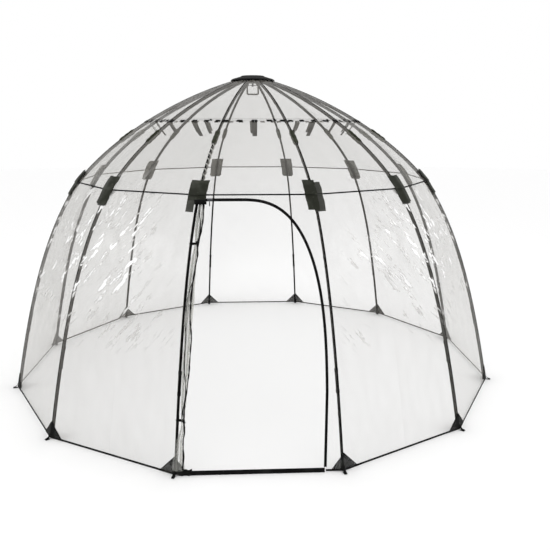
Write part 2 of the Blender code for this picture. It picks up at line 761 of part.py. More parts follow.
def add_zip(leg_hinge):
    """The slider on the straight head of the zip, and the pull that hangs from its bridge."""
    lift = FILM_OFFSET + FILM_THICK + TAPE_GAP + TAPE_THICK + TAPE_GAP
    place, out_way, up_way = door_surface(SLIDER_X, DOOR_HEAD_HEIGHT, lift)
    frame = Matrix((
        (1, 0, 0, place.x),
        (0, -out_way.y, up_way.y, place.y),
        (0, -out_way.z, up_way.z, place.z),
        (0, 0, 0, 1),
    ))
    slide = add_empty("zip_slide", (0, 0, 0), 0, leg_hinge)
    bpy.context.view_layer.update()
    slide.matrix_basis = leg_hinge.matrix_world.inverted() @ frame

    half_length = SLIDER_LENGTH / 2
    half_width = SLIDER_WIDTH / 2
    outline = [
        (-half_length, -half_width * SLIDER_NOSE_SHARE), (half_length * SLIDER_WIDE_FROM, -half_width),
        (half_length * SLIDER_WIDE_TO, -half_width), (half_length, -half_width * SLIDER_TAIL_SHARE),
        (half_length, half_width * SLIDER_TAIL_SHARE), (half_length * SLIDER_WIDE_TO, half_width),
        (half_length * SLIDER_WIDE_FROM, half_width), (-half_length, half_width * SLIDER_NOSE_SHARE),
    ]
    body = flat_plate("slider_body", outline, SLIDER_THICK)
    body.transform(Matrix.Translation((0, -SLIDER_THICK / 2, 0)))
    bar_height = SLIDER_THICK + BRIDGE_HEIGHT
    meshes = [body]
    for side in (-1, 1):
        x = side * BRIDGE_SPAN / 2
        meshes.append(box(
            "bridge_post", (x - BRIDGE_RADIUS, -bar_height, -BRIDGE_RADIUS),
            (x + BRIDGE_RADIUS, -SLIDER_THICK / 2, BRIDGE_RADIUS),
        ))
    meshes.append(cylinder(
        "bridge_bar", BRIDGE_RADIUS, BRIDGE_SPAN + 2 * (BRIDGE_RADIUS + BRIDGE_OVERHANG),
        (0, -bar_height, 0), "X", sides=8,
    ))
    link("zip_slider", shaded(united("zip_slider", meshes)), "plastic", slide)

    hinge = add_empty("zip_pull_hinge", (0, -bar_height, 0), 0, slide)
    eye = flat_plate(
        "pull_eye", circle_outline(PULL_EYE_RADIUS), PULL_EYE_THICK,
        holes=(circle_outline(BRIDGE_RADIUS + PULL_CLEARANCE),),
    )
    eye.transform(Matrix.Rotation(math.pi / 2, 4, "Z"))
    shaft_top = -(BRIDGE_RADIUS + PULL_CLEARANCE + PULL_EYE_RADIUS) / 2
    shaft_length = PULL_LENGTH - PULL_GRIP_LENGTH / 2
    shaft = cylinder(
        "pull_shaft", PULL_SHAFT_RADIUS, shaft_length + shaft_top,
        (0, 0, (shaft_top - shaft_length) / 2), sides=8,
    )
    grip = cylinder(
        "pull_grip", PULL_GRIP_RADIUS, PULL_GRIP_LENGTH,
        (0, 0, -PULL_LENGTH + PULL_GRIP_LENGTH / 2), sides=10,
    )
    link("zip_pull", shaded(united("zip_pull", [eye, shaft, grip])), "plastic", hinge)


def curtain_point(height):
    """A point of the gathered door film, beside the leg at the height, in the hinge's frame."""
    t = parameter_where(LEG_CURVE, lambda p: p.y < height)
    centre = LEG_CURVE[0](t)
    return Vector((centre.x - KNUCKLE.x, CURTAIN_SIDE, centre.y - KNUCKLE.y)), LEG_CURVE[1](t)


def belt_points(small, big, distance, steps=8):
    """A taut loop round two circles, as (along, across) from the small one's centre."""
    lean = math.asin((big - small) / distance)
    points = []
    for i in range(steps + 1):
        angle = -(math.pi / 2 + lean) + (math.pi + 2 * lean) * i / steps
        points.append((distance + big * math.cos(angle), big * math.sin(angle)))
    for i in range(steps + 1):
        angle = math.pi / 2 + lean + (math.pi - 2 * lean) * i / steps
        points.append((small * math.cos(angle), small * math.sin(angle)))
    return points


def add_curtain(leg_hinge):
    centres = [curtain_point(height)[0] for height, _ in CURTAIN_STATIONS]
    radii = [radius for _, radius in CURTAIN_STATIONS]
    bundle = tube("door_curtain", centres, max(radii), radii=radii)
    link("door_curtain", shaded(bundle), "film", leg_hinge)

    for name, height in zip(("door_tie_upper", "door_tie_lower"), TIE_HEIGHTS):
        gathered = min(radius for _, radius in CURTAIN_STATIONS)
        around_rod = ROD_RADIUS + TIE_ROD_CLEARANCE + TIE_CORD_RADIUS
        around_film = gathered + TIE_FILM_CLEARANCE + TIE_CORD_RADIUS
        place, down = curtain_point(height)
        outward = Vector((-down.y, 0, down.x))
        beside_way = Vector((0, 1, 0))
        on_leg = place - beside_way * CURTAIN_SIDE
        loop = tube(f"{name}_cord", [
            on_leg + beside_way * along + outward * across
            for along, across in belt_points(around_rod, around_film, CURTAIN_SIDE)
        ], TIE_CORD_RADIUS, cyclic=True)
        reach = around_film + TIE_CORD_RADIUS + TOGGLE_RADIUS - TOGGLE_OVERLAP
        toggle = cylinder("toggle", TOGGLE_RADIUS, TOGGLE_LENGTH, (0, 0, 0), sides=10)
        down_3d = Vector((down.x, 0, down.y))
        toggle.transform(
            Matrix.Translation(
                place + beside_way * reach * math.cos(TOGGLE_AZIMUTH)
                + outward * reach * math.sin(TOGGLE_AZIMUTH)
            ) @ down_3d.to_track_quat("Z", "Y").to_matrix().to_4x4()
        )
        link(name, shaded(united(name, [loop, toggle])), "webbing", leg_hinge)


# Assembly

def add_ribs_and_film():
    rib_mesh = upper_rib_mesh()
    shin_mesh = leg_mesh()
    roof_film = spun_surface("roof_gore", roof_profile(), PIVOT, GORE_GAP)
    wall_film = spun_surface("wall_gore", wall_profile(), KNUCKLE, GORE_GAP)
    for number in range(SIDES):
        azimuth = FIRST_RIB_AZIMUTH + number * PITCH
        hub_hinge = add_empty(
            f"rib_hinge_{number + 1:02}",
            (PIVOT_RADIUS * math.cos(azimuth), PIVOT_RADIUS * math.sin(azimuth), PIVOT_HEIGHT),
            azimuth,
        )
        knee_hinge = add_empty(
            f"knee_hinge_{number + 1:02}",
            (KNUCKLE.x - PIVOT.x, 0, KNUCKLE.y - PIVOT.y), 0, hub_hinge,
        )
        link(f"upper_rib_{number + 1:02}", rib_mesh, "rod", hub_hinge)
        link(f"leg_{number + 1:02}", shin_mesh, "rod", knee_hinge)
        roof = link(f"roof_gore_{number + 1:02}", roof_film, "film", hub_hinge)
        thicken(roof, FILM_THICK)
        wall = link(f"wall_gore_{number + 1:02}", wall_film, "film", knee_hinge)
        thicken(wall, FILM_THICK)
    return knee_hinge, wall


add_hub()
last_knee, front_wall = add_ribs_and_film()
bpy.context.view_layer.update()
add_door(last_knee, front_wall)
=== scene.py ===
"""Clear garden bubble tent: the looks of each piece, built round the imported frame."""

import json
import math

import bmesh
import bpy
from mathutils import Matrix, Vector, noise


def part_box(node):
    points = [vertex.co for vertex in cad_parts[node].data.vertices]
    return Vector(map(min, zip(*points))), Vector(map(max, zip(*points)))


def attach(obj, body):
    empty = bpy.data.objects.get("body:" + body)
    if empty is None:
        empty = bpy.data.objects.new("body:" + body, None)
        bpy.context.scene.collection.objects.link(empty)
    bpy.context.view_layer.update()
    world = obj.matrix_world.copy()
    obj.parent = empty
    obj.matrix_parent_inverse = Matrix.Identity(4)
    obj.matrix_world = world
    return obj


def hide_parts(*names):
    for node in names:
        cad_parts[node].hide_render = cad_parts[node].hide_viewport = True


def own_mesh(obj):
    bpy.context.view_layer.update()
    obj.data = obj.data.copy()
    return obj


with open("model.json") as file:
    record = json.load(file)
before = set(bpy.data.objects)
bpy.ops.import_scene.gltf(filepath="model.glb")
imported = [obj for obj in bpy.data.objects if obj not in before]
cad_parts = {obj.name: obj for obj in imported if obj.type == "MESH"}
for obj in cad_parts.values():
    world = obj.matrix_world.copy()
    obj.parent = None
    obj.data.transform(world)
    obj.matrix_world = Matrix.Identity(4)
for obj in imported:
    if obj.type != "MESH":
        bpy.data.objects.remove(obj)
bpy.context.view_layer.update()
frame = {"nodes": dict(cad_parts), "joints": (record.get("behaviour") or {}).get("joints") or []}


# ---------------------------------------------------------------------------
# Camera: at a standing person's eye height, five metres in front of the
# doorway, a touch to its left and tilted down so the whole tent fits.
# ---------------------------------------------------------------------------
eye = bpy.data.cameras.new("eye")
eye.sensor_width = 36
eye.lens = 41.88
camera = bpy.data.objects.new("eye", eye)
camera.location = (-0.064, -5.004, 1.903)
camera.rotation_euler = (math.radians(76.8), 0, math.radians(-2.65))
bpy.context.scene.collection.objects.link(camera)
bpy.context.scene.camera = camera


# ---------------------------------------------------------------------------
# Studio: a white floor under an even white surround, with softboxes to the left, the
# right and above. The glints on the crinkled film are mostly painted highlights in its material.
# ---------------------------------------------------------------------------
bpy.ops.mesh.primitive_circle_add(vertices=96, radius=26, fill_type="NGON")
floor = bpy.context.object
floor.name = "floor"
paper = bpy.data.materials.new("white_paper")
paper.use_nodes = True
paper.node_tree.nodes["Principled BSDF"].inputs["Base Color"].default_value = (0.985, 0.985, 0.985, 1)
paper.node_tree.nodes["Principled BSDF"].inputs["Roughness"].default_value = 0.9
floor.data.materials.append(paper)

surround = bpy.data.worlds.new("surround")
bpy.context.scene.world = surround
surround.use_nodes = True
surround.node_tree.nodes["Background"].inputs["Color"].default_value = (1, 1, 1, 1)
surround.node_tree.nodes["Background"].inputs["Strength"].default_value = 1.0

for side, place, size, watts in (
    ("left", (-5.0, -2.4, 3.5), 1.2, 24),
    ("right", (5.0, -2.3, 3.4), 1.2, 24),
    ("top", (0.3, -0.6, 6.0), 3.0, 20),
):
    lamp = bpy.data.lights.new(f"{side}_softbox", "AREA")
    lamp.shape = "SQUARE"
    lamp.size = size
    lamp.energy = watts
    stand = bpy.data.objects.new(f"{side}_softbox", lamp)
    stand.location = place
    stand.rotation_euler = (Vector((0, 0, 1)) - Vector(place)).to_track_quat("-Z", "Y").to_euler()
    bpy.context.scene.collection.objects.link(stand)

bpy.context.scene.view_settings.view_transform = "Standard"
bpy.context.scene.cycles.transparent_max_bounces = 32


# ---------------------------------------------------------------------------
# Top cap: a low cap of black moulded plastic with a flat crown and sloping
# shoulders, pressed on over the hub to keep rain off the ends of the ribs.
# ---------------------------------------------------------------------------
def drop_selection():
    bpy.ops.object.select_all(action="DESELECT")


def settled(obj, name, smooth_to=35):
    """Applies the modifiers and the place, so that the shape stands in the tent's frame."""
    drop_selection()
    obj.select_set(True)
    bpy.context.view_layer.objects.active = obj
    for modifier in list(obj.modifiers):
        bpy.ops.object.modifier_apply(modifier=modifier.name)
    bpy.ops.object.transform_apply(location=True, rotation=True, scale=True)
    bpy.ops.object.shade_smooth_by_angle(angle=math.radians(smooth_to))
    obj.name = name
    obj.data.name = name
    return obj


def drawn_up(name, outline, sides):
    """A round piece on the tent's axis, drawn ring by ring from a circle and closed at both ends."""
    drop_selection()
    bpy.ops.mesh.primitive_circle_add(vertices=sides, radius=outline[0][0])
    obj = bpy.context.object
    bpy.ops.object.mode_set(mode="EDIT")
    bpy.ops.mesh.select_all(action="SELECT")
    bpy.ops.transform.translate(value=(0, 0, outline[0][1]))
    for (radius, height), (next_radius, next_height) in zip(outline, outline[1:]):
        bpy.ops.mesh.extrude_region_move()
        bpy.ops.transform.resize(
            value=(next_radius / radius, next_radius / radius, 1), center_override=(0, 0, height)
        )
        bpy.ops.transform.translate(value=(0, 0, next_height - height))
    bpy.ops.mesh.select_all(action="SELECT")
    bpy.ops.mesh.fill_holes(sides=0)
    bpy.ops.mesh.normals_make_consistent(inside=False)
    bpy.ops.object.mode_set(mode="OBJECT")
    return settled(obj, name)


def new_group(name, inputs, outputs):
    """A shader node group with float or vector inputs, and its nodes and ends ready to link."""
    group = bpy.data.node_groups.new(name, "ShaderNodeTree")
    for socket, value in inputs.items():
        kind = "NodeSocketVector" if value is None else "NodeSocketFloat"
        made = group.interface.new_socket(socket, in_out="INPUT", socket_type=kind)
        if value is not None:
            made.default_value = value
    for socket in outputs:
        kind = "NodeSocketColor" if socket == "Color" else "NodeSocketFloat"
        group.interface.new_socket(socket, in_out="OUTPUT", socket_type=kind)
    return group, group.nodes.new("NodeGroupInput"), group.nodes.new("NodeGroupOutput")


def sums(tree, operation, first, second=None, third=None, clamp=False):
    """A maths node on sockets or numbers; gives back its output."""
    node = tree.nodes.new("ShaderNodeMath")
    node.operation = operation
    node.use_clamp = clamp
    for slot, value in zip(node.inputs, (first, second, third)):
        if value is None:
            continue
        if isinstance(value, (int, float)):
            slot.default_value = value
        else:
            tree.links.new(value, slot)
    return node.outputs[0]


def fitted(tree, value, low, high, to_low=0.0, to_high=1.0):
    """Maps a value smoothly from one range to another, held at both ends."""
    node = tree.nodes.new("ShaderNodeMapRange")
    node.interpolation_type = "SMOOTHSTEP"
    tree.links.new(value, node.inputs["Value"])
    for socket, number in zip(("From Min", "From Max", "To Min", "To Max"), (low, high, to_low, to_high)):
        node.inputs[socket].default_value = number
    return node.outputs["Result"]


def mottled(tree, place, scale, detail):
    """Noise with a little more fine detail than usual, read at a place."""
    node = tree.nodes.new("ShaderNodeTexNoise")
    node.inputs["Scale"].default_value = scale
    node.inputs["Detail"].default_value = detail
    node.inputs["Roughness"].default_value = 0.55
    tree.links.new(place, node.inputs["Vector"])
    return node.outputs["Fac"]


def raised(tree, height, strength, distance, over=None):
    """Bumps the surface by a height that changes over it, on top of any finer relief."""
    relief = tree.nodes.new("ShaderNodeBump")
    relief.inputs["Strength"].default_value = strength
    relief.inputs["Distance"].default_value = distance
    tree.links.new(height, relief.inputs["Height"])
    if over:
        tree.links.new(over.outputs["Normal"], relief.inputs["Normal"])
    tree.links.new(relief.outputs["Normal"], tree.nodes["Principled BSDF"].inputs["Normal"])


def tinted(tree, first, second, share):
    """Colours the surface between two colours, by a share that changes over it."""
    tint = tree.nodes.new("ShaderNodeMix")
    tint.data_type = "RGBA"
    tint.inputs["A"].default_value = (*first, 1)
    tint.inputs["B"].default_value = (*second, 1)
    tree.links.new(share, tint.inputs["Factor"])
    tree.links.new(tint.outputs["Result"], tree.nodes["Principled BSDF"].inputs["Base Color"])


# Handling marks: broad dust, small scuffs and the fine grain of the surface.
GRAIN_SCALE = 900
wear_group, wear_in, wear_out = new_group(
    "handling_wear", {"Place": None, "Dust Scale": 6.0, "Scuff Scale": 60.0}, ("Dust", "Scuff", "Grain")
)
for scale_name, output, low, high in (
    ("Dust Scale", "Dust", 0.45, 0.75), ("Scuff Scale", "Scuff", 0.6, 0.72),
):
    blotch = wear_group.nodes.new("ShaderNodeTexNoise")
    blotch.inputs["Detail"].default_value = 4.0
    wear_group.links.new(wear_in.outputs["Place"], blotch.inputs["Vector"])
    wear_group.links.new(wear_in.outputs[scale_name], blotch.inputs["Scale"])
    wear_group.links.new(fitted(wear_group, blotch.outputs["Fac"], low, high), wear_out.inputs[output])
wear_group.links.new(mottled(wear_group, wear_in.outputs["Place"], GRAIN_SCALE, 2), wear_out.inputs["Grain"])


def worn_material(name, colour, dusty, roughness, bump=0.2, metallic=0.0, dust_scale=6.0):
    """A material whose colour lifts with dust, and whose gloss and surface follow scuffs and grain."""
    material = bpy.data.materials.new(name)
    material.use_nodes = True
    tree = material.node_tree
    shader = tree.nodes["Principled BSDF"]
    shader.inputs["Metallic"].default_value = metallic
    place = tree.nodes.new("ShaderNodeTexCoord").outputs["Object"]
    wear = tree.nodes.new("ShaderNodeGroup")
    wear.node_tree = wear_group
    wear.inputs["Dust Scale"].default_value = dust_scale
    tree.links.new(place, wear.inputs["Place"])
    tinted(tree, colour, dusty, sums(tree, "MAXIMUM", wear.outputs["Dust"], wear.outputs["Scuff"]))
    dulled = sums(tree, "MULTIPLY_ADD", wear.outputs["Dust"], 0.18, roughness)
    tree.links.new(dulled, shader.inputs["Roughness"])
    raised(tree, wear.outputs["Grain"], bump, 0.0006)
    return material


black_plastic = worn_material("black_moulded_plastic", (0.003, 0.003, 0.003), (0.014, 0.013, 0.012), 0.68)
black_plastic.node_tree.nodes["Principled BSDF"].inputs["Specular IOR Level"].default_value = 0.12


def hand_over(obj, body, finish, slot, *nodes):
    """Gives a finished piece its material, the body it moves with and the CAD nodes it stands for."""
    obj.data.materials.clear()
    obj.data.materials.append(finish)
    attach(obj, body)
    if nodes:
        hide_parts(*nodes)


cap_low, cap_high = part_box("top_cap")
cap_top, cap_rim = cap_high[2], cap_low[2]
cap_radius = cap_high[0]
cap = drawn_up("cap_shell", [
    (0.003, cap_top), (0.060, cap_top - 0.0004), (0.082, cap_top - 0.0018), (0.0875, cap_top - 0.0040),
    (0.0900, cap_top - 0.0070), (0.096, cap_top - 0.0090), (0.120, cap_top - 0.0160),
    (0.143, cap_top - 0.0225), (0.152, cap_top - 0.0255), (0.158, cap_top - 0.0290),
    (0.1625, cap_top - 0.0330), (cap_radius, cap_rim + 0.0018), (cap_radius - 0.0004, cap_rim + 0.0004),
    (cap_radius - 0.0012, cap_rim), (cap_radius - 0.0026, cap_rim + 0.0004),
    (0.1595, cap_top - 0.0335), (0.149, cap_top - 0.0278), (0.119, cap_top - 0.0190),
    (0.086, cap_top - 0.0085), (0.036, cap_top - 0.0028), (0.003, cap_top - 0.0026),
], sides=96)
hand_over(cap, "hub", black_plastic, "black_plastic", "top_cap")


# ---------------------------------------------------------------------------
# Hub: two round plates of black nylon, clamped by six screws round the steel
# ring that all twelve ribs turn on. The plates' slots guide the ribs.
# ---------------------------------------------------------------------------
def refinished(node, finish):
    """Gives a CAD node, whose shape is right as it is, its material."""
    frame["nodes"][node].data.materials.clear()
    frame["nodes"][node].data.materials.append(finish)


steel = worn_material("zinc_plated_steel", (0.42, 0.43, 0.45), (0.25, 0.24, 0.23), 0.32, 0.1, 1.0)
refinished("hub_upper_plate", black_plastic)
refinished("hub_lower_plate", black_plastic)
refinished("crown_ring", steel)

HUB_SCREWS, SCREW_CIRCLE = 6, 0.05
SCREW_HEAD, SCREW_DEPTH, SCREW_STANDS = 0.0045, 0.0032, 0.0014
SOCKET_RIM, SOCKET_DEPTH = 0.0018, 0.0016
hub_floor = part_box("crown_ring")[0][2] - 0.0115
for number in range(HUB_SCREWS):
    turn = math.radians(60 * number + 30)
    drop_selection()
    bpy.ops.mesh.primitive_cylinder_add(
        vertices=24, radius=SCREW_HEAD, depth=SCREW_DEPTH,
        location=(SCREW_CIRCLE * math.cos(turn), SCREW_CIRCLE * math.sin(turn), hub_floor - SCREW_STANDS),
    )
    screw = bpy.context.object
    bpy.ops.object.mode_set(mode="EDIT")
    bpy.ops.mesh.select_all(action="DESELECT")
    bpy.ops.object.mode_set(mode="OBJECT")
    for face in screw.data.polygons:
        face.select = face.normal.z < -0.9
    bpy.ops.object.mode_set(mode="EDIT")
    bpy.ops.mesh.inset(thickness=SOCKET_RIM)
    bpy.ops.transform.translate(value=(0, 0, SOCKET_DEPTH))
    bpy.ops.object.mode_set(mode="OBJECT")
    screw.modifiers.new("edge", "BEVEL").width = 0.0005
    hand_over(settled(screw, f"hub_screw_{number + 1}"), "hub", steel, "ring_wire")


# ---------------------------------------------------------------------------
# Ribs and legs: thin-walled tubes in a black sleeve, bowed between their
# moulded ends. An eye turns on the hub's ring, and a fork holds the leg's
# tongue on a riveted pin at the knee. A ferrule joins the leg's two lengths.
# ---------------------------------------------------------------------------
SIDES = 12
TAGS = [f"{number + 1:02d}" for number in range(SIDES)]
PITCH = math.radians(360 / SIDES)
half_pitch_sine, half_pitch_cosine = math.sin(PITCH / 2), math.cos(PITCH / 2)
joints = {joint["name"]: joint for joint in frame["joints"]}
pivot_place = Vector(joints["rib_fold_01"]["pos_m"])
knee_place = Vector(joints["knee_fold_01"]["pos_m"])
PIVOT = Vector((pivot_place.xy.length, pivot_place.z))
KNEE = Vector((knee_place.xy.length, knee_place.z))
FOOT = Vector((1.815, 0.0))
first_turn = math.atan2(pivot_place.y, pivot_place.x)


def bow(start, end, slopes, fullness):
    """The four control points of a rib's curve, as distance from the axis and height."""
    span = (end - start).length
    ways = [Vector((math.cos(math.radians(slope)), -math.sin(math.radians(slope)))) for slope in slopes]
    return start, start + ways[0] * span * fullness[0], end - ways[1] * span * fullness[1], end


HUB_SLOPE, KNEE_SLOPE_ABOVE, KNEE_SLOPE_BELOW, FOOT_SLOPE = 15, 50, 54, 79
ROOF = bow(PIVOT, KNEE, (HUB_SLOPE, KNEE_SLOPE_ABOVE), (0.336, 0.297))
WALL = bow(KNEE, FOOT, (KNEE_SLOPE_BELOW, FOOT_SLOPE), (0.252, 0.441))


def on_bow(points, t):
    """The place on a rib's curve, and the way it runs there."""
    s = 1 - t
    place = s**3 * points[0] + 3 * s * s * t * points[1] + 3 * s * t * t * points[2] + t**3 * points[3]
    way = (
        s * s * (points[1] - points[0]) + 2 * s * t * (points[2] - points[1])
        + t * t * (points[3] - points[2])
    )
    return place, way.normalized()


def where(points, reached):
    """How far down the curve its place first passes the test."""
    low, high = 0.0, 1.0
    for _ in range(36):
        middle = (low + high) / 2
        if reached(on_bow(points, middle)[0]):
            high = middle
        else:
            low = middle
    return high


def tent_turn(number):
    return first_turn + number * PITCH


def ways_at(turn):
    """The way out from the tent's axis at a turn, and the way across it."""
    return Vector((math.cos(turn), math.sin(turn), 0)), Vector((-math.sin(turn), math.cos(turn), 0))


def beside_rib(number, points, t, side=0.0, lift=0.0):
    """A point of the dome's skin: down the rib's curve, to its side across the flat gore, and lifted out."""
    place, way = on_bow(points, t)
    out = place.x - way.y * lift - abs(side) * half_pitch_sine
    ahead, across = ways_at(tent_turn(number))
    return ahead * out + across * side * half_pitch_cosine + Vector((0, 0, place.y + way.x * lift))


def bent_tube(points, start, end, radius, edge=0.0, sides=3):
    """A tube along part of a rib's curve, in the plane y = 0."""
    drop_selection()
    bpy.ops.curve.primitive_bezier_curve_add()
    obj = bpy.context.object
    line = obj.data
    line.dimensions = "3D"
    for knot, place, before, after in zip(
        line.splines[0].bezier_points, (points[0], points[3]), (points[0], points[2]), (points[1], points[3])
    ):
        knot.handle_left_type = knot.handle_right_type = "FREE"
        knot.co = (place.x, 0, place.y)
        knot.handle_left = (before.x, 0, before.y)
        knot.handle_right = (after.x, 0, after.y)
    line.resolution_u = 64
    line.bevel_depth = radius
    line.bevel_resolution = sides
    line.use_fill_caps = True
    line.bevel_factor_start = start
    line.bevel_factor_end = end
    bpy.ops.object.convert(target="MESH")
    obj = bpy.context.object
    if edge:
        rounding = obj.modifiers.new("edge", "BEVEL")
        rounding.width = edge
        rounding.segments = 2
        rounding.limit_method = "ANGLE"
        bpy.ops.object.modifier_apply(modifier=rounding.name)
    return obj


def rounded(obj, edge, segments=2):
    """Rounds every edge of a primitive that has just been added."""
    bpy.ops.object.mode_set(mode="EDIT")
    bpy.ops.mesh.select_all(action="SELECT")
    bpy.ops.mesh.bevel(offset=edge, segments=segments)
    bpy.ops.object.mode_set(mode="OBJECT")
    return obj


def flat_bar(place, slope, low, high, width, depth, edge):
    """A bar from low to high along a slope from a place in the plane y = 0."""
    drop_selection()
    bpy.ops.mesh.primitive_cube_add(size=1)
    obj = bpy.context.object
    bpy.ops.object.mode_set(mode="EDIT")
    bpy.ops.mesh.select_all(action="SELECT")
    bpy.ops.transform.resize(value=(high - low, width, depth))
    bpy.ops.transform.translate(value=((high + low) / 2, 0, 0))
    bpy.ops.object.mode_set(mode="OBJECT")
    rounded(obj, edge)
    obj.rotation_euler = (0, slope, 0)
    obj.location = (place.x, 0, place.y)
    return obj


def knuckle_disc(place, offset, radius, depth, edge):
    """A round cheek, eye or pin head whose axis is the joint's."""
    drop_selection()
    bpy.ops.mesh.primitive_cylinder_add(
        vertices=28, radius=radius, depth=depth, location=(place.x, offset, place.y),
        rotation=(math.radians(90), 0, 0),
    )
    return rounded(bpy.context.object, edge)


def joined(pieces, name):
    """Pieces made one, with their modifiers and places applied."""
    drop_selection()
    for piece in pieces:
        piece.select_set(True)
    bpy.context.view_layer.objects.active = pieces[0]
    bpy.ops.object.join()
    return settled(pieces[0], name, 40)


def turned_copy(master, number, name):
    """A copy of a piece made at azimuth 0, turned to its rib, with its own mesh."""
    copy = master.copy()
    copy.data = master.data.copy()
    copy.data.transform(Matrix.Rotation(tent_turn(number), 4, "Z"))
    copy.name = name
    copy.data.name = name
    bpy.context.scene.collection.objects.link(copy)
    return copy


ROD = 0.00635
COLLAR, COLLAR_EDGE = 0.0082, 0.0016
FERRULE, FERRULE_EDGE, FERRULE_LIP = 0.0100, 0.0012, 0.0113
CHEEK, CHEEK_OFFSET, CHEEK_THICK = 0.0098, 0.0066, 0.0038
PIN_HEAD, PIN_HEAD_OFFSET, PIN_HEAD_THICK = 0.0046, 0.0092, 0.0022
KNUCKLE_EDGE = 0.0008
FOOT_CAP, FOOT_CAP_TALL, FOOT_CAP_EDGE = 0.0098, 0.030, 0.0016
roof_socket = [where(ROOF, lambda p, d=d: (p - PIVOT).length > d) for d in (0.030, 0.060)]
fork_socket = [where(ROOF, lambda p, d=d: (p - KNEE).length < d) for d in (0.060, 0.027)]
leg_socket = [where(WALL, lambda p, d=d: (p - KNEE).length > d) for d in (0.030, 0.060)]
ferrule = [where(WALL, lambda p, h=h: p.y < h) for h in (0.565, 0.435)]
hub_slope = math.radians(HUB_SLOPE)
knee_back = math.radians(KNEE_SLOPE_ABOVE)
knee_front = math.radians(KNEE_SLOPE_BELOW)

upper_rod = joined([bent_tube(ROOF, roof_socket[0], fork_socket[1], ROD, sides=4)], "upper_rod")

drop_selection()
bpy.ops.mesh.primitive_torus_add(
    major_segments=32, minor_segments=12, major_radius=0.0067, minor_radius=0.0032,
    location=(PIVOT.x, 0, PIVOT.y), rotation=(math.radians(90), 0, 0),
)
upper_ends = joined([
    bpy.context.object,
    flat_bar(PIVOT, hub_slope, 0.0085, 0.033, 0.0072, 0.0105, 0.0014),
    bent_tube(ROOF, *roof_socket, COLLAR, COLLAR_EDGE),
    bent_tube(ROOF, *fork_socket, COLLAR, COLLAR_EDGE),
    *[knuckle_disc(KNEE, side * CHEEK_OFFSET, CHEEK, CHEEK_THICK, KNUCKLE_EDGE) for side in (-1, 1)],
    *[knuckle_disc(KNEE, side * PIN_HEAD_OFFSET, PIN_HEAD, PIN_HEAD_THICK, KNUCKLE_EDGE) for side in (-1, 1)],
    knuckle_disc(KNEE, 0, 0.0029, 0.018, 0.0003),
], "upper_ends")
cheeks = []
for side in (-1, 1):
    cheek = flat_bar(KNEE, knee_back, -0.030, -0.002, CHEEK_THICK, 0.0118, 0.0009)
    cheek.location.y = side * CHEEK_OFFSET
    cheeks.append(cheek)
yoke = flat_bar(KNEE, knee_back, -0.034, -0.0215, 0.0165, 0.0118, 0.0014)
upper_ends = joined([upper_ends, *cheeks, yoke], "upper_ends")

rod_end = where(WALL, lambda p: p.y < 0.006)
leg_rod = joined([bent_tube(WALL, leg_socket[0], rod_end, ROD, sides=4)], "leg_rod")
drop_selection()
bpy.ops.mesh.primitive_cylinder_add(
    vertices=28, radius=FOOT_CAP, depth=FOOT_CAP_TALL, location=(1.8121, 0, 0.0151)
)
foot_cap = rounded(bpy.context.object, FOOT_CAP_EDGE, 3)
leg_ends = joined([
    knuckle_disc(KNEE, 0, CHEEK, 0.0078, KNUCKLE_EDGE),
    flat_bar(KNEE, knee_front, 0.004, 0.033, 0.0076, 0.0105, 0.0012),
    bent_tube(WALL, *leg_socket, COLLAR, COLLAR_EDGE),
    bent_tube(WALL, *ferrule, FERRULE, FERRULE_EDGE),
    bent_tube(WALL, ferrule[0] - 0.001, ferrule[0] + 0.009, FERRULE_LIP, 0.0010),
    bent_tube(WALL, ferrule[1] - 0.009, ferrule[1] + 0.001, FERRULE_LIP, 0.0010),
    foot_cap,
], "leg_ends")

# The sleeve is braided polyester: a fine diamond braid, greyer where it is rubbed.
braid_group, braid_in, braid_out = new_group("diamond_braid", {"Place": None, "Pitch": 420.0}, ("Height",))
turns = []
for lean in ((1, 1, 1), (1, 1, -1)):
    tilt = braid_group.nodes.new("ShaderNodeVectorMath")
    tilt.operation = "DOT_PRODUCT"
    tilt.inputs[1].default_value = lean
    braid_group.links.new(braid_in.outputs["Place"], tilt.inputs[0])
    phase = sums(braid_group, "MULTIPLY", tilt.outputs["Value"], braid_in.outputs["Pitch"])
    wave = sums(braid_group, "SINE", phase)
    turns.append(sums(braid_group, "MULTIPLY_ADD", wave, 0.5, 0.5))
braid_group.links.new(sums(braid_group, "MULTIPLY", *turns), braid_out.inputs["Height"])

sleeve = worn_material(
    "braided_black_sleeve", (0.006, 0.006, 0.006), (0.030, 0.030, 0.029), 0.7, 0.3, 0.0, 9.0
)
tree = sleeve.node_tree
tree.nodes["Principled BSDF"].inputs["Specular IOR Level"].default_value = 0.10
braid = tree.nodes.new("ShaderNodeGroup")
braid.node_tree = braid_group
tree.links.new(tree.nodes["Texture Coordinate"].outputs["Object"], braid.inputs["Place"])
raised(tree, braid.outputs["Height"], 1.0, 0.0008, over=tree.nodes["Bump"])

for number, tag in enumerate(TAGS):
    rib, leg = f"upper_rib_{tag}", f"leg_{tag}"
    hand_over(turned_copy(upper_rod, number, f"upper_rod_{tag}"), rib, sleeve, "rib_rods", rib)
    hand_over(turned_copy(upper_ends, number, f"upper_ends_{tag}"), rib, black_plastic, "black_plastic")
    hand_over(turned_copy(leg_rod, number, f"leg_rod_{tag}"), leg, sleeve, "rib_rods", leg)
    hand_over(turned_copy(leg_ends, number, f"leg_ends_{tag}"), leg, black_plastic, "black_plastic")
for master in (upper_rod, upper_ends, leg_rod, leg_ends):
    bpy.data.objects.remove(master)


# ---------------------------------------------------------------------------
# Dome film: clear PVC about half a millimetre thick, cut in flat gores and
# welded along the ribs. It is pulled taut, with the creases of its packing.
# Each piece here is the film that one rib or leg carries, to mid-gore.
# ---------------------------------------------------------------------------
FILM_LIFT = 0.014
FILM_THICK = 0.0006


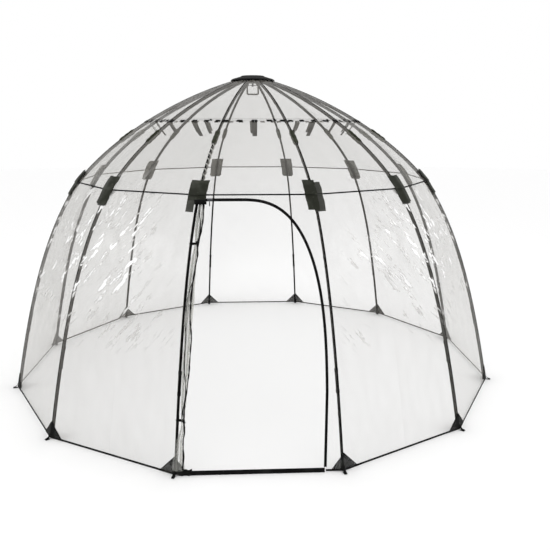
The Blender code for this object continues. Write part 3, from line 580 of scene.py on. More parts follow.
def eased(value):
    value = min(max(value, 0.0), 1.0)
    return value * value * (3 - 2 * value)


def crease(gore, side, down):
    """How far the film stands off flat at a place on its gore, in metres."""
    seed = 3.7 * (gore % SIDES)
    broad = noise.noise(Vector((side * 5.5, down * 2.2, seed)))
    packed = abs(noise.noise(Vector((side * 15, down * 5.0, seed + 40))))
    lean = 0.55 if gore % 2 else -0.6
    slanted = abs(noise.noise(Vector(((side + down * lean) * 9, (down - side * lean) * 3.2, seed + 80))))
    crumple = abs(noise.noise(Vector((side * 26, down * 19, seed + 120))))
    return 0.0050 * broad - 0.0080 * (packed - 0.22) - 0.0070 * (slanted - 0.22) - 0.0028 * (crumple - 0.22)


def panel(name, rows, size=None, thick=0.0, grow=1.0):
    """A sheet through rows of points from the top down, left to right from outside; UV in metres."""
    mesh = bpy.data.meshes.new(name)
    obj = bpy.data.objects.new(name, mesh)
    bpy.context.scene.collection.objects.link(obj)
    shape = bmesh.new()
    measure = shape.loops.layers.uv.new("measure")
    corners = [[shape.verts.new(point) for point in row] for row in rows]
    width, length = size or (1.0, 1.0)
    for i, (upper, lower) in enumerate(zip(corners, corners[1:])):
        across = min(len(upper), len(lower)) - 1
        for j in range(across):
            face = shape.faces.new((upper[j], lower[j], lower[j + 1], upper[j + 1]))
            for loop, (row, column) in zip(face.loops, ((i, j), (i + 1, j), (i + 1, j + 1), (i, j + 1))):
                loop[measure].uv = (
                    width * (column / across - 0.5), -length * row / (len(rows) - 1)
                )
            face.smooth = True
    loose = [vert for vert in shape.verts if not vert.link_faces]
    bmesh.ops.delete(shape, geom=loose, context="VERTS")
    shape.to_mesh(mesh)
    shape.free()
    if thick:
        wall = obj.modifiers.new("thickness", "SOLIDIFY")
        wall.thickness = thick
        wall.offset = grow
        settled(obj, name, 50)
    return obj


# Doorway: its head is level at the left and rounds over into the right jamb.
HEAD, SPRING, RISE = 1.480, 0.450, 1.030
DOOR_CENTRE, DOOR_HALF, DOOR_FULL, JAMB_FOOT = -0.100, 0.483, 2.8, 0.368


def jamb(height):
    """The x of the doorway's right edge at a height."""
    if height < SPRING:
        return JAMB_FOOT + (DOOR_CENTRE + DOOR_HALF - JAMB_FOOT) * height / SPRING
    share = min((height - SPRING) / RISE, 1.0)
    return DOOR_CENTRE + DOOR_HALF * (1 - share**DOOR_FULL) ** (1 / DOOR_FULL)


def wing(number, points, stops, half_columns):
    """Rows of points for the film beside one rib to mid-gore on both sides: flat, and creased."""
    flat, creased = [], []
    wall = points is WALL
    down, previous = 0.0, None
    for t in stops:
        place, way = on_bow(points, t)
        spot = Vector((place.x - way.y * FILM_LIFT, place.y + way.x * FILM_LIFT))
        down += (spot - previous).length if previous else 0.0
        previous = spot
        reach = spot.x * half_pitch_sine
        height = spot.y
        # The wall's creases carry on below the roof's.
        level = down + 1.5 if wall else down
        calm = eased(abs(height - KNEE.y) / 0.05) * (0.35 + 0.65 * eased(height / 0.12))
        if not wall:
            calm *= 1 - 0.75 * math.exp(-(((spot.x - 0.80) / 0.05) ** 2))
        left, right = -reach, reach
        edge_left = None
        if wall and number == 0 and height < HEAD:
            # The front gore's x runs along its chord, and rib 01 is at its right end.
            edge_left = -(reach - max(jamb(height), 0.0))
            left = edge_left
        flat_row, creased_row = [], []
        for j in range(2 * half_columns + 1):
            share = (j - half_columns) / half_columns
            side = -left * share if share < 0 else right * share
            bare = beside_rib(number, points, t, side, FILM_LIFT)
            gore = number if side >= 0 else number - 1
            on_gore = reach - abs(side)
            gore_side = -on_gore if side >= 0 else on_gore
            hold = calm * eased(abs(side) / 0.06)
            if edge_left is not None and side < 0:
                hold *= eased((side - edge_left) / 0.05)
            turn = tent_turn(number) + (PITCH / 2 if side >= 0 else -PITCH / 2)
            slope = Vector((-way.y * math.cos(turn), -way.y * math.sin(turn), way.x))
            flat_row.append(bare)
            creased_row.append(bare + slope * hold * crease(gore, gore_side, level))
        if wall and number == SIDES - 1 and height < HEAD:
            flat_row = flat_row[: half_columns + 1]
            creased_row = creased_row[: half_columns + 1]
        flat.append(flat_row)
        creased.append(creased_row)
    return flat, creased


# Film finish: nearly invisible face on, greyer at a glancing angle, with painted
# highlights as pale broken streaks of glints along the creases, and a faint haze.
crease_and_glint_group, crease_in, crease_out = new_group(
    "film_creases_and_painted_glints", {"Place": None, "Scale": 4.0, "Patches": 1.5},
    ("Painted Glint", "Haze", "Height"),
)
# Each run of painted glints leans up towards the tent's middle, and is broken into flecks.
axes = crease_and_glint_group.nodes.new("ShaderNodeSeparateXYZ")
crease_and_glint_group.links.new(crease_in.outputs["Place"], axes.inputs[0])
outward = sums(crease_and_glint_group, "ABSOLUTE", axes.outputs["X"])
RUN_LEAN = math.radians(132)
lean_cosine, lean_sine = math.cos(RUN_LEAN), math.sin(RUN_LEAN)
along_run = sums(crease_and_glint_group, "MULTIPLY_ADD", axes.outputs["Z"], lean_sine,
                 sums(crease_and_glint_group, "MULTIPLY", outward, lean_cosine))
across_run = sums(crease_and_glint_group, "MULTIPLY_ADD", axes.outputs["Z"], -lean_cosine,
                  sums(crease_and_glint_group, "MULTIPLY", outward, lean_sine))


def run_noise(length_scale, width_scale, detail):
    """Noise drawn out along the run of the glints."""
    drawn = crease_and_glint_group.nodes.new("ShaderNodeCombineXYZ")
    for socket, source, scale in (
        (0, along_run, length_scale), (1, across_run, width_scale), (2, axes.outputs["Y"], 3.0),
    ):
        measure = sums(crease_and_glint_group, "MULTIPLY", source, crease_in.outputs["Scale"])
        crease_and_glint_group.links.new(sums(crease_and_glint_group, "MULTIPLY", measure, scale), drawn.inputs[socket])
    return mottled(crease_and_glint_group, drawn.outputs[0], 1.0, detail)


patch = crease_and_glint_group.nodes.new("ShaderNodeTexNoise")
patch.inputs["Detail"].default_value = 2.0
crease_and_glint_group.links.new(crease_in.outputs["Place"], patch.inputs["Vector"])
crease_and_glint_group.links.new(crease_in.outputs["Patches"], patch.inputs["Scale"])
runs = fitted(crease_and_glint_group, run_noise(0.9, 6.5, 2.0), 0.50, 0.58)
flecks = fitted(crease_and_glint_group, run_noise(4.0, 13.0, 3.0), 0.47, 0.56)
belt = sums(crease_and_glint_group, "MULTIPLY", fitted(crease_and_glint_group, axes.outputs["Z"], 0.55, 1.0),
            fitted(crease_and_glint_group, axes.outputs["Z"], 1.75, 1.35))
glints = sums(crease_and_glint_group, "MULTIPLY", runs, flecks)
# The painted glints are kept to patches on the front walls that face the softboxes, in a belt of height.
softbox_facing_mask = sums(crease_and_glint_group, "MULTIPLY", fitted(crease_and_glint_group, patch.outputs["Fac"], 0.42, 0.54),
                  sums(crease_and_glint_group, "MULTIPLY", fitted(crease_and_glint_group, axes.outputs["Y"], -0.2, -0.6),
                       fitted(crease_and_glint_group, outward, 0.45, 0.65)))
crease_and_glint_group.links.new(
    sums(crease_and_glint_group, "MULTIPLY", sums(crease_and_glint_group, "MULTIPLY", glints, softbox_facing_mask), belt),
    crease_out.inputs["Painted Glint"],
)
crease_and_glint_group.links.new(run_noise(0.8, 3.0, 4.0), crease_out.inputs["Height"])
# The film is hazier towards its -X side, and from waist height up to the shoulders.
greyer_to_minus_x = sums(crease_and_glint_group, "MULTIPLY", fitted(crease_and_glint_group, axes.outputs["X"], 1.1, -1.2),
                 fitted(crease_and_glint_group, patch.outputs["Fac"], 0.25, 0.7, 0.55, 1.0))
greyer_mid_height = sums(crease_and_glint_group, "MULTIPLY", fitted(crease_and_glint_group, axes.outputs["Z"], 0.2, 0.9),
               fitted(crease_and_glint_group, axes.outputs["Z"], 2.25, 1.7, 0.1, 1.0))
haze = sums(crease_and_glint_group, "MULTIPLY_ADD", greyer_mid_height, 0.45, greyer_to_minus_x)
crease_and_glint_group.links.new(haze, crease_out.inputs["Haze"])


GLINT_WHITE = (0.95, 0.95, 0.95)
HAZE_WEIGHT = 0.060


def film_material(name, colour, bare, glancing, painted_glint_share, scale=4.0):
    """Clear film whose opacity is its bare haze, more at a glancing angle, and most at its painted glints
    along the creases.
    """
    material = bpy.data.materials.new(name)
    material.use_nodes = True
    tree = material.node_tree
    shader = tree.nodes["Principled BSDF"]
    shader.inputs["Roughness"].default_value = 0.12
    shader.inputs["IOR"].default_value = 1.53
    place = tree.nodes.new("ShaderNodeTexCoord").outputs["Object"]
    marks = tree.nodes.new("ShaderNodeGroup")
    marks.node_tree = crease_and_glint_group
    marks.inputs["Scale"].default_value = scale
    tree.links.new(place, marks.inputs["Place"])
    # Painted highlight: the film's colour goes near white at the glints, standing in for the softboxes'
    # reflections.
    tinted(tree, colour, GLINT_WHITE, marks.outputs["Painted Glint"])
    angle = tree.nodes.new("ShaderNodeLayerWeight")
    angle.inputs["Blend"].default_value = 0.28
    veil = sums(tree, "MULTIPLY_ADD", angle.outputs["Facing"], glancing, bare)
    veil = sums(tree, "MULTIPLY_ADD", marks.outputs["Haze"], HAZE_WEIGHT, veil)
    veil = sums(tree, "MULTIPLY_ADD", marks.outputs["Painted Glint"], painted_glint_share, veil, clamp=True)
    tree.links.new(veil, shader.inputs["Alpha"])
    raised(tree, marks.outputs["Height"], 0.35, 0.002)
    return material


wall_finish = film_material("clear_wall_film", (0.34, 0.325, 0.295), 0.010, 0.24, 0.95)
# The roof film's bare veil is higher than the wall's: a painted reflection that greys the roof more.
roof_finish = film_material("clear_roof_film", (0.33, 0.315, 0.285), 0.042, 0.20, 0.30)

film_top = where(ROOF, lambda p: p.x > 0.125)
roof_stops = [film_top + (1 - film_top) * i / 64 for i in range(65)]
# The wall's rows are closer together where the doorway's head rounds off.
near_head = (1.4735, 1.4720, 1.4705, 1.4680, 1.4640, 1.4580)
wall_stops = [i / 78 for i in range(78)]
wall_stops += [where(WALL, lambda p, h=h: p.y < h) for h in near_head]
wall_stops = sorted(wall_stops)
wall_end = where(WALL, lambda p: p.y < 0.003)
wall_stops = [t for t in wall_stops if t < wall_end] + [wall_end]

SQUASH_ROOF, SQUASH_WALL = 0.11, 0.085


def gathers_in(obj):
    """Gives film or trim a mesh of its own."""
    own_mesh(obj)


def folds_with_rib(obj, number, keep=SQUASH_ROOF):
    gathers_in(obj)


def folds_with_leg(obj, number, keep=SQUASH_WALL):
    gathers_in(obj)


for number, tag in enumerate(TAGS):
    flat, creased = wing(number, ROOF, roof_stops, 14)
    roof = panel(f"roof_film_{tag}", creased, thick=FILM_THICK)
    hand_over(roof, f"upper_rib_{tag}", roof_finish, "clear_film", f"roof_gore_{tag}")
    folds_with_rib(roof, number)
    flat, creased = wing(number, WALL, wall_stops, 18)
    wall = panel(f"wall_film_{tag}", creased, thick=FILM_THICK)
    hand_over(wall, f"leg_{tag}", wall_finish, "clear_film", f"wall_gore_{tag}")
    folds_with_leg(wall, number)


# ---------------------------------------------------------------------------
# Rib seams: the gores' edges are welded into a narrow pocket of black webbing
# that is sewn round each rod, and moulded clips keep it from turning.
# ---------------------------------------------------------------------------
weave_group, weave_in, weave_out = new_group(
    "plain_weave", {"Measure": None, "Pitch": 1570.0}, ("Height", "Painted Shade")
)
split = weave_group.nodes.new("ShaderNodeSeparateXYZ")
weave_group.links.new(weave_in.outputs["Measure"], split.inputs[0])
threads = [
    sums(weave_group, "SINE", sums(weave_group, "MULTIPLY", split.outputs[axis], weave_in.outputs["Pitch"]))
    for axis in ("X", "Y")
]
over_under = sums(weave_group, "MULTIPLY_ADD", sums(weave_group, "MULTIPLY", *threads), 0.5, 0.5)
weave_group.links.new(over_under, weave_out.inputs["Height"])
# Painted shade: the low threads of the weave are painted darker, following its height.
weave_group.links.new(sums(weave_group, "MULTIPLY_ADD", over_under, 0.4, 0.3), weave_out.inputs["Painted Shade"])


def woven_material(name, colour, worn, roughness=0.8, pitch=1570.0, sheen=0.04):
    """Cloth or webbing: a weave that follows the sheet's own measure, with painted shade between its threads,
    and faded and dusty areas.
    """
    material = worn_material(name, colour, worn, roughness, 0.15, 0.0, 11.0)
    tree = material.node_tree
    shader = tree.nodes["Principled BSDF"]
    shader.inputs["Sheen Weight"].default_value = sheen
    shader.inputs["Specular IOR Level"].default_value = 0.08
    weave = tree.nodes.new("ShaderNodeGroup")
    weave.node_tree = weave_group
    weave.inputs["Pitch"].default_value = pitch
    tree.links.new(tree.nodes["Texture Coordinate"].outputs["UV"], weave.inputs["Measure"])
    raised(tree, weave.outputs["Height"], 0.6, 0.0007, over=tree.nodes["Bump"])
    thread_shade_mix = tree.nodes.new("ShaderNodeMix")
    thread_shade_mix.data_type = "RGBA"
    thread_shade_mix.blend_type = "MULTIPLY"
    thread_shade_mix.inputs["Factor"].default_value = 0.5
    tree.links.new(tree.nodes["Mix"].outputs["Result"], thread_shade_mix.inputs["A"])
    tree.links.new(weave.outputs["Painted Shade"], thread_shade_mix.inputs["B"])
    tree.links.new(thread_shade_mix.outputs["Result"], shader.inputs["Base Color"])
    return material


black_webbing = woven_material(
    "black_polyester_webbing", (0.004, 0.004, 0.004), (0.018, 0.018, 0.017), sheen=0.01
)


def length_down(rows):
    """The length of a sheet's left edge."""
    return sum((b[0] - a[0]).length for a, b in zip(rows, rows[1:]))


def strip_beside(name, number, points, stops, sides, lift, thick):
    """A strip over the stops down a rib's curve, with one row of the given sides at each stop."""
    rows = [[beside_rib(number, points, t, side, lift) for side in sides] for t in stops]
    return panel(name, rows, (max(sides) - min(sides), length_down(rows)), thick)


POCKET_HALF, POCKET_LIFT, POCKET_DEPTH = 0.0072, 0.0042, 0.0110
POCKET_GIRTH, POCKET_THICK, POCKET_SIDES = 0.060, 0.0007, 14


def seam_pocket(name, number, points, stops):
    """A flat-sided pocket round the rod and the seam outside it, closed along its length."""
    rows = []
    for t in stops:
        row = []
        for j in range(POCKET_SIDES + 1):
            angle = math.tau * j / POCKET_SIDES
            lift = POCKET_LIFT + POCKET_DEPTH * math.cos(angle)
            row.append(beside_rib(number, points, t, -POCKET_HALF * math.sin(angle), lift))
        rows.append(row)
    return panel(name, rows, (POCKET_GIRTH, length_down(rows)), POCKET_THICK, -1.0)


CLIP, CLIP_EDGE, CLIP_HALF = 0.0086, 0.0012, 0.009
clip_master = {}
for name, points, stops in (
    ("roof", ROOF, (0.16, 0.34, 0.52, 0.80)), ("wall", WALL, (0.12, 0.30, 0.46, 0.84)),
):
    sleeves = []
    for t in stops:
        half = CLIP_HALF / (points[3] - points[0]).length
        sleeves.append(bent_tube(points, t - half, t + half, CLIP, CLIP_EDGE))
    clip_master[name] = joined(sleeves, f"{name}_clips")

for number, tag in enumerate(TAGS):
    rib, leg = f"upper_rib_{tag}", f"leg_{tag}"
    stops = [film_top + (1 - film_top) * i / 40 for i in range(41)]
    pocket = seam_pocket(f"roof_seam_pocket_{tag}", number, ROOF, stops)
    hand_over(pocket, rib, black_webbing, "black_webbing")
    stops = [wall_end * i / 40 for i in range(41)]
    pocket = seam_pocket(f"wall_seam_pocket_{tag}", number, WALL, stops)
    hand_over(pocket, leg, black_webbing, "black_webbing")
    clips = turned_copy(clip_master["roof"], number, f"roof_clips_{tag}")
    hand_over(clips, rib, black_plastic, "black_plastic")
    clips = turned_copy(clip_master["wall"], number, f"wall_clips_{tag}")
    hand_over(clips, leg, black_plastic, "black_plastic")
for master in clip_master.values():
    bpy.data.objects.remove(master)


# ---------------------------------------------------------------------------
# Wraps: a padded sleeve of olive cloth is wound round each upper rib below
# the ring of webbing, and pressed shut along its length.
# ---------------------------------------------------------------------------
olive_cloth = woven_material(
    "olive_oxford_cloth", (0.030, 0.033, 0.020), (0.070, 0.075, 0.055), 0.85, 1250.0, 0.08
)

WRAP_GIRTH, WRAP_LIFT, WRAP_LAP = 0.0148, 0.0045, 2.4
WRAP_ROWS, WRAP_SIDES = 28, 32
wrap_start = where(ROOF, lambda p: p.x > 0.885)
wrap_end = where(ROOF, lambda p: p.x > 0.990)
for number, tag in enumerate(TAGS):
    rows = []
    ahead, across = ways_at(tent_turn(number))
    for i in range(WRAP_ROWS + 1):
        share = i / WRAP_ROWS
        t = wrap_start + (wrap_end - wrap_start) * share
        place, way = on_bow(ROOF, t)
        out = ahead * -way.y + Vector((0, 0, way.x))
        girth = WRAP_GIRTH * (1 - 0.20 * (abs(2 * share - 1) ** 8)) - 0.0008 * math.cos(6 * math.pi * share)
        row = []
        for j in range(WRAP_SIDES + 1):
            angle = math.tau * j / WRAP_SIDES
            spot = Vector((math.cos(angle) * 1.6, math.sin(angle) * 1.6, share * 6 + number))
            ruck = 0.0012 * noise.noise(spot)
            radius = girth + ruck + 0.0010 * eased((j - 28) / 4)
            row.append(
                ahead * place.x + Vector((0, 0, place.y))
                + out * (WRAP_LIFT + radius * math.cos(angle + WRAP_LAP))
                - across * radius * math.sin(angle + WRAP_LAP)
            )
        rows.append(row)
    wrap = panel(f"rib_wrap_{tag}", rows, (0.092, 0.115), 0.0016, -1.0)
    hand_over(wrap, f"upper_rib_{tag}", olive_cloth, "pad_fabric")


def run_of_cord(name, points, radii, sides=10, flat=1.0):
    """A cord through points, with a radius at each; flat below 1 presses it towards a ribbon."""
    rows = []
    up = Vector((0, 0, 1))
    for i, point in enumerate(points):
        way = (points[min(i + 1, len(points) - 1)] - points[max(i - 1, 0)]).normalized()
        if i == 0:
            up = way.orthogonal().normalized()
        up = (up - way * up.dot(way)).normalized()
        side = way.cross(up)
        row = []
        for j in range(sides):
            angle = math.tau * j / sides
            row.append(point + radii[i] * (up * math.cos(angle) + side * flat * math.sin(angle)))
        rows.append(row)
    mesh = bpy.data.meshes.new(name)
    obj = bpy.data.objects.new(name, mesh)
    bpy.context.scene.collection.objects.link(obj)
    shape = bmesh.new()
    measure = shape.loops.layers.uv.new("measure")
    rings = [[shape.verts.new(p) for p in row] for row in rows]
    down = 0.0
    for i, (first, second) in enumerate(zip(rings, rings[1:])):
        step = (points[i + 1] - points[i]).length
        for j in range(sides):
            after = (j + 1) % sides
            face = shape.faces.new((first[j], first[after], second[after], second[j]))
            turn = math.tau * radii[i] / sides
            for loop, (u, v) in zip(face.loops, ((j, 0), (j + 1, 0), (j + 1, 1), (j, 1))):
                loop[measure].uv = (u * turn, down + v * step)
            face.smooth = True
        down += step
    shape.faces.new(rings[0])
    shape.faces.new(rings[-1][::-1])
    bmesh.ops.recalc_face_normals(shape, faces=shape.faces)
    shape.to_mesh(mesh)
    shape.free()
    return settled(obj, name, 60)


# The left doorway rib has a white cord wound round it between the wrap and the knee pad.
lace_cord = woven_material("white_lacing_cord", (0.60, 0.60, 0.57), (0.42, 0.42, 0.39), 0.8, 2400.0)
lace_top = wrap_end + 0.010
lace_low = where(ROOF, lambda p: (p - KNEE).length < 0.106)
LACE_TURNS, LACE_STEPS = 7, 12
LACE_THICK, LACE_HALF, LACE_LIFT, LACE_DEPTH = 0.0042, 0.0100, 0.0042, 0.0138
points = []
for i in range(LACE_TURNS * LACE_STEPS + 1):
    angle = math.tau * i / LACE_STEPS
    t = lace_top + (lace_low - lace_top) * i / (LACE_TURNS * LACE_STEPS)
    lift = LACE_LIFT + LACE_DEPTH * math.cos(angle)
    points.append(beside_rib(SIDES - 1, ROOF, t, LACE_HALF * math.sin(angle), lift))
lacing = run_of_cord("rib_lacing_12", points, [LACE_THICK] * len(points), 8, 0.5)
hand_over(lacing, "upper_rib_12", lace_cord, "black_webbing")


# ---------------------------------------------------------------------------
# Upper ring: webbing threaded in and out of slots round the dome, so that it
# shows as a row of dashes, with a doubled tab that hangs in at each mid-gore.
# ---------------------------------------------------------------------------
grey_webbing = woven_material("grey_polyester_webbing", (0.075, 0.070, 0.062), (0.16, 0.155, 0.14))
ring_t = where(ROOF, lambda p: p.x > 0.800)
ring_reach = (on_bow(ROOF, ring_t)[0].x + 0.006) * half_pitch_sine
# A roof curve is about 1.06 times as long as the straight line between its ends.
roof_length = (ROOF[3] - ROOF[0]).length * 1.06
DASH_HALF_LONG, DASH_HALF_TALL, DASH_LIFT, DASH_THICK = 0.019, 0.011, 0.0175, 0.0012


def short_strip(name, number, left, right, high, low, lift, thick, slope=0.0):
    """A short flat piece on the roof film, its edges in metres from the rib and from the ring's line."""
    rows = []
    for i in range(3):
        row = []
        for j in range(5):
            side = left + (right - left) * j / 4
            drop = high + (low - high) * i / 2 + slope * (j / 4 - 0.5)
            bulge = 0.0012 * math.sin(math.pi * j / 4)
            row.append(beside_rib(number, ROOF, ring_t - drop / roof_length, side, lift + bulge))
        rows.append(row)
    return panel(name, rows, (right - left, high - low), thick)


for number, tag in enumerate(TAGS):
    dashes = []
    for centre in (-0.115, -0.027, 0.027, 0.115):
        wobble = 0.004 * noise.noise(Vector((centre * 31, number * 1.7, 0.5)))
        dashes.append(short_strip(
            "dash", number, centre - DASH_HALF_LONG + wobble, centre + DASH_HALF_LONG + wobble,
            DASH_HALF_TALL + wobble, -DASH_HALF_TALL + wobble, DASH_LIFT, DASH_THICK, wobble,
        ))
    for side in (-1, 1):
        low, high = sorted((side * (ring_reach - DASH_HALF_LONG), side * ring_reach))
        dashes.append(
            short_strip("dash", number, low, high, DASH_HALF_TALL, -DASH_HALF_TALL, DASH_LIFT, DASH_THICK)
        )
    corner = 0.082 + 0.02 * noise.noise(Vector((number * 2.3, 4.1, 0)))
    rows = []
    for i in range(4):
        half = 0.002 + 0.013 * i / 3
        t = ring_t - (0.024 - 0.024 * i / 3) / roof_length
        rows.append([beside_rib(number, ROOF, t, -corner + half * (j - 1), 0.0185) for j in range(3)])
    dashes.append(panel("corner", rows, (0.03, 0.024), DASH_THICK))
    ring = joined(dashes, f"ring_dashes_{tag}")
    hand_over(ring, f"upper_rib_{tag}", black_webbing, "black_webbing")
    folds_with_rib(ring, number)

    sides = [ring_reach * (j / 12 - 1) for j in range(25)]
    stops = [ring_t - 0.0175, ring_t - 0.0160]
    thread = strip_beside(f"ring_stitch_{tag}", number, ROOF, stops, sides, 0.0165, 0.0006)
    hand_over(thread, f"upper_rib_{tag}", grey_webbing, "black_webbing")
    folds_with_rib(thread, number)

    # The tab at the gore's middle hangs down and inwards from the ring, a short grey one behind it.
    top = beside_rib(number, ROOF, ring_t, ring_reach, 0.0125)
    outward_way, across = ways_at(tent_turn(number) + PITCH / 2)
    inward = -outward_way
    twist = 0.35 * noise.noise(Vector((number * 1.31, 7.7, 2.0)))
    layers = []
    for shift, width, length, back in ((0.0, 0.036, 0.105, 0.0), (-0.017, 0.026, 0.078, 0.006)):
        rows = []
        for i in range(9):
            share = i / 8
            fall = Vector((0, 0, -length * 0.88 * share)) + inward * (back + length * 0.62 * share**1.2)
            lean = across * (shift + twist * length * share * 0.5)
            rows.append([
                top + fall + lean + across * (width * (0.5 - j / 4) * (1 - 0.16 * share)) * -1
                + inward * 0.0015 * math.sin(math.pi * j / 4)
                for j in range(5)
            ])
        layers.append(panel("tab_layer", rows, (width, length), 0.0014))
    for layer, finish in zip(layers, (black_webbing, grey_webbing)):
        name = f"ring_tab_{tag}" if finish is black_webbing else f"ring_tab_back_{tag}"
        layer.name = layer.data.name = name
        hand_over(layer, f"upper_rib_{tag}", finish, "black_webbing")
        folds_with_rib(layer, number)


# ---------------------------------------------------------------------------
# Ring cord: a thin braided cord runs straight from knee to knee outside the
# film, and is stitched down under the pads.
# ---------------------------------------------------------------------------
knee_line = where(WALL, lambda p: p.y < 1.4965)
CORD_LIFT, CORD_THICK = 0.0195, 0.0043
for number, tag in enumerate(TAGS):
    reach = (on_bow(WALL, knee_line)[0].x + 0.021 * 0.81) * half_pitch_sine
    points = [beside_rib(number, WALL, knee_line, reach * j / 16, CORD_LIFT) for j in range(-16, 17)]
    cord = run_of_cord(f"ring_cord_{tag}", points, [CORD_THICK] * len(points))
    hand_over(cord, f"upper_rib_{tag}", black_webbing, "black_webbing")
    folds_with_rib(cord, number)


# ---------------------------------------------------------------------------
# Knee pads: two overlapping flaps of doubled olive-grey cloth are sewn over
# each knee, one to the roof and one to the wall, so that they fold with it.
# ---------------------------------------------------------------------------
pad_cloth = woven_material("pad_cloth", (0.026, 0.028, 0.020), (0.070, 0.074, 0.060), 0.9, 900.0, 0.08)
under_cloth = woven_material("pad_under_cloth", (0.062, 0.063, 0.055), (0.13, 0.13, 0.118), 0.9, 900.0, 0.10)


PAD_THICK, PAD_OVERLAP, PAD_KEEPS = 0.0024, 0.013, 0.60


def knee_flap(name, number, upper, left, right, length, lift, seed):
    """A flap of cloth over one side of the knee, a little uneven and bowed clear of the cord."""
    points = ROOF if upper else WALL
    full = 3 * ((ROOF[3] - ROOF[2]).length if upper else (WALL[1] - WALL[0]).length)
    rows = []
    for i in range(13):
        share = i / 12
        row = []
        for j in range(17):
            across = j / 16
            along = length * (1 - share) - PAD_OVERLAP * share if upper else length * share
            wander = noise.noise(Vector((across * 2.2, share * 1.6 + seed, number * 1.9)))
            edge = left + (right - left) * across
            edge += 0.004 * noise.noise(Vector((share * 3, seed, number * 2.7 + across)))
            skew = 0.007 * (across - 0.5) * noise.noise(Vector((number * 1.1, seed * 2, 9)))
            t = (1 - (along + skew) / full) if upper else max((along + skew) / full, 0.0)
            proud = lift + 0.0022 * wander - 0.0012 * math.exp(-((abs(edge) / 0.012) ** 2))
            row.append(beside_rib(number, points, t, edge, proud))
        rows.append(row)
    return panel(name, rows, (right - left, length), PAD_THICK)


for number, tag in enumerate(TAGS):
    for part, body, fold in (
        ("upper", f"upper_rib_{tag}", folds_with_rib), ("lower", f"leg_{tag}", folds_with_leg),
    ):
        upper = part == "upper"
        left, right = (-0.058, 0.014) if number == 0 else (-0.057, 0.055)
        length = 0.088 if upper else 0.104
        if number == SIDES - 1 and not upper:
            # The roll of the door's edge takes the place of this flap's lower half.
            length = 0.041
        lift, seed = (0.0290, 3.1) if upper else (0.0245, 8.4)
        flap = knee_flap(f"pad_{part}_{tag}", number, upper, left, right, length, lift, seed)
        hand_over(flap, body, pad_cloth, "pad_fabric")
        fold(flap, number, keep=PAD_KEEPS)
        left, right = {0: (-0.018, 0.058), SIDES - 1: (-0.064, -0.012)}.get(number, (-0.046, 0.046))
        length, lift = (0.077, 0.0205) if upper else (0.112, 0.0180)
        under = knee_flap(f"pad_under_{part}_{tag}", number, upper, left, right, length, lift, 5.5)
        hand_over(under, body, under_cloth, "pad_fabric")
        fold(under, number, keep=PAD_KEEPS)


# ---------------------------------------------------------------------------
# Feet: a hem of black tape runs round the base, a triangle of black mesh
# stiffens the film on each side of each foot, and a loop takes a ground peg.
# ---------------------------------------------------------------------------
mesh_net = woven_material("black_mesh_net", (0.006, 0.006, 0.006), (0.030, 0.030, 0.028), 0.8)
tree = mesh_net.node_tree
measure_split = tree.nodes.new("ShaderNodeSeparateXYZ")
tree.links.new(tree.nodes["Texture Coordinate"].outputs["UV"], measure_split.inputs[0])
NET_PITCH = 520.0
holes = [
    sums(tree, "SINE", sums(tree, "MULTIPLY", measure_split.outputs[axis], NET_PITCH)) for axis in ("X", "Y")
]
open_share = fitted(tree, sums(tree, "MULTIPLY", *holes), 0.62, 0.80)
tree.links.new(sums(tree, "SUBTRACT", 1.0, open_share), tree.nodes["Principled BSDF"].inputs["Alpha"])

for number, tag in enumerate(TAGS):
    reach = (FOOT.x + 0.015) * half_pitch_sine
    left = -reach if number else -(reach - JAMB_FOOT - 0.004)
    right = reach if number != SIDES - 1 else 0.012
    hem_stops = [where(WALL, lambda p, h=h: p.y < h) for h in (0.015, 0.0095, 0.004)]
    sides = [left + (right - left) * j / 40 for j in range(41)]
    hem = strip_beside(f"base_hem_{tag}", number, WALL, hem_stops, sides, 0.0162, 0.0012)
    hand_over(hem, f"leg_{tag}", black_webbing, "black_webbing")
    folds_with_leg(hem, number)

    nets = []
    for side in (-1, 1):
        if (number == 0 and side < 0) or (number == SIDES - 1 and side > 0):
            spread, tall = 0.078, 0.088
        else:
            spread, tall = 0.108, 0.100
        rows = []
        for i in range(11):
            share = i / 10
            t = where(WALL, lambda p, h=0.004 + tall * (1 - share): p.y < h)
            ends = sorted((0.0, side * (0.006 + (spread - 0.006) * share)))
            rows.append([
                beside_rib(number, WALL, t, ends[0] + (ends[1] - ends[0]) * j / 8,
                           0.0184 + 0.0018 * noise.noise(Vector((share * 3, j * 0.4, number * 2.1 + side))))
                for j in range(9)
            ])
        nets.append(panel("net", rows, (spread, tall), 0.0010))
    net = joined(nets, f"foot_mesh_{tag}")
    hand_over(net, f"leg_{tag}", mesh_net, "black_webbing")
    folds_with_leg(net, number)

    ahead, across = ways_at(tent_turn(number))
    rows = []
    for out, height in (
        (1.829, 0.034), (1.833, 0.022), (1.839, 0.0125), (1.848, 0.0080), (1.856, 0.0068), (1.8615, 0.0056),
        (1.8630, 0.0040), (1.8615, 0.0026), (1.854, 0.0018), (1.844, 0.0016), (1.834, 0.0018),
    ):
        rows.append([ahead * out + across * 0.008 * (j / 2 - 1) + Vector((0, 0, height)) for j in range(5)])
    loop = panel(f"peg_loop_{tag}", rows, (0.016, 0.11), 0.0012)
    hand_over(loop, f"leg_{tag}", black_webbing, "black_webbing")


# ---------------------------------------------------------------------------
# Doorway zip: a black coil zip on woven tape, level along the head and round
# into the right jamb. Its left end is on leg 12's film and the rest on leg
# 01's, so the tape is in two pieces that meet at the front gore's middle.
# ---------------------------------------------------------------------------
def on_front(x, z, lift):
    """The point at x and z on the front gore, lifted outward."""
    t = where(WALL, lambda p: p.y < z)
    place, way = on_bow(WALL, t)
    up_way = Vector((0, way.x * half_pitch_cosine, -way.y)).normalized()
    out_way = Vector((0, -up_way.z, up_way.y))
    point = Vector((x, -place.x * half_pitch_cosine, place.y)) + out_way * lift
    return point + up_way * (z - point.z) / up_way.z


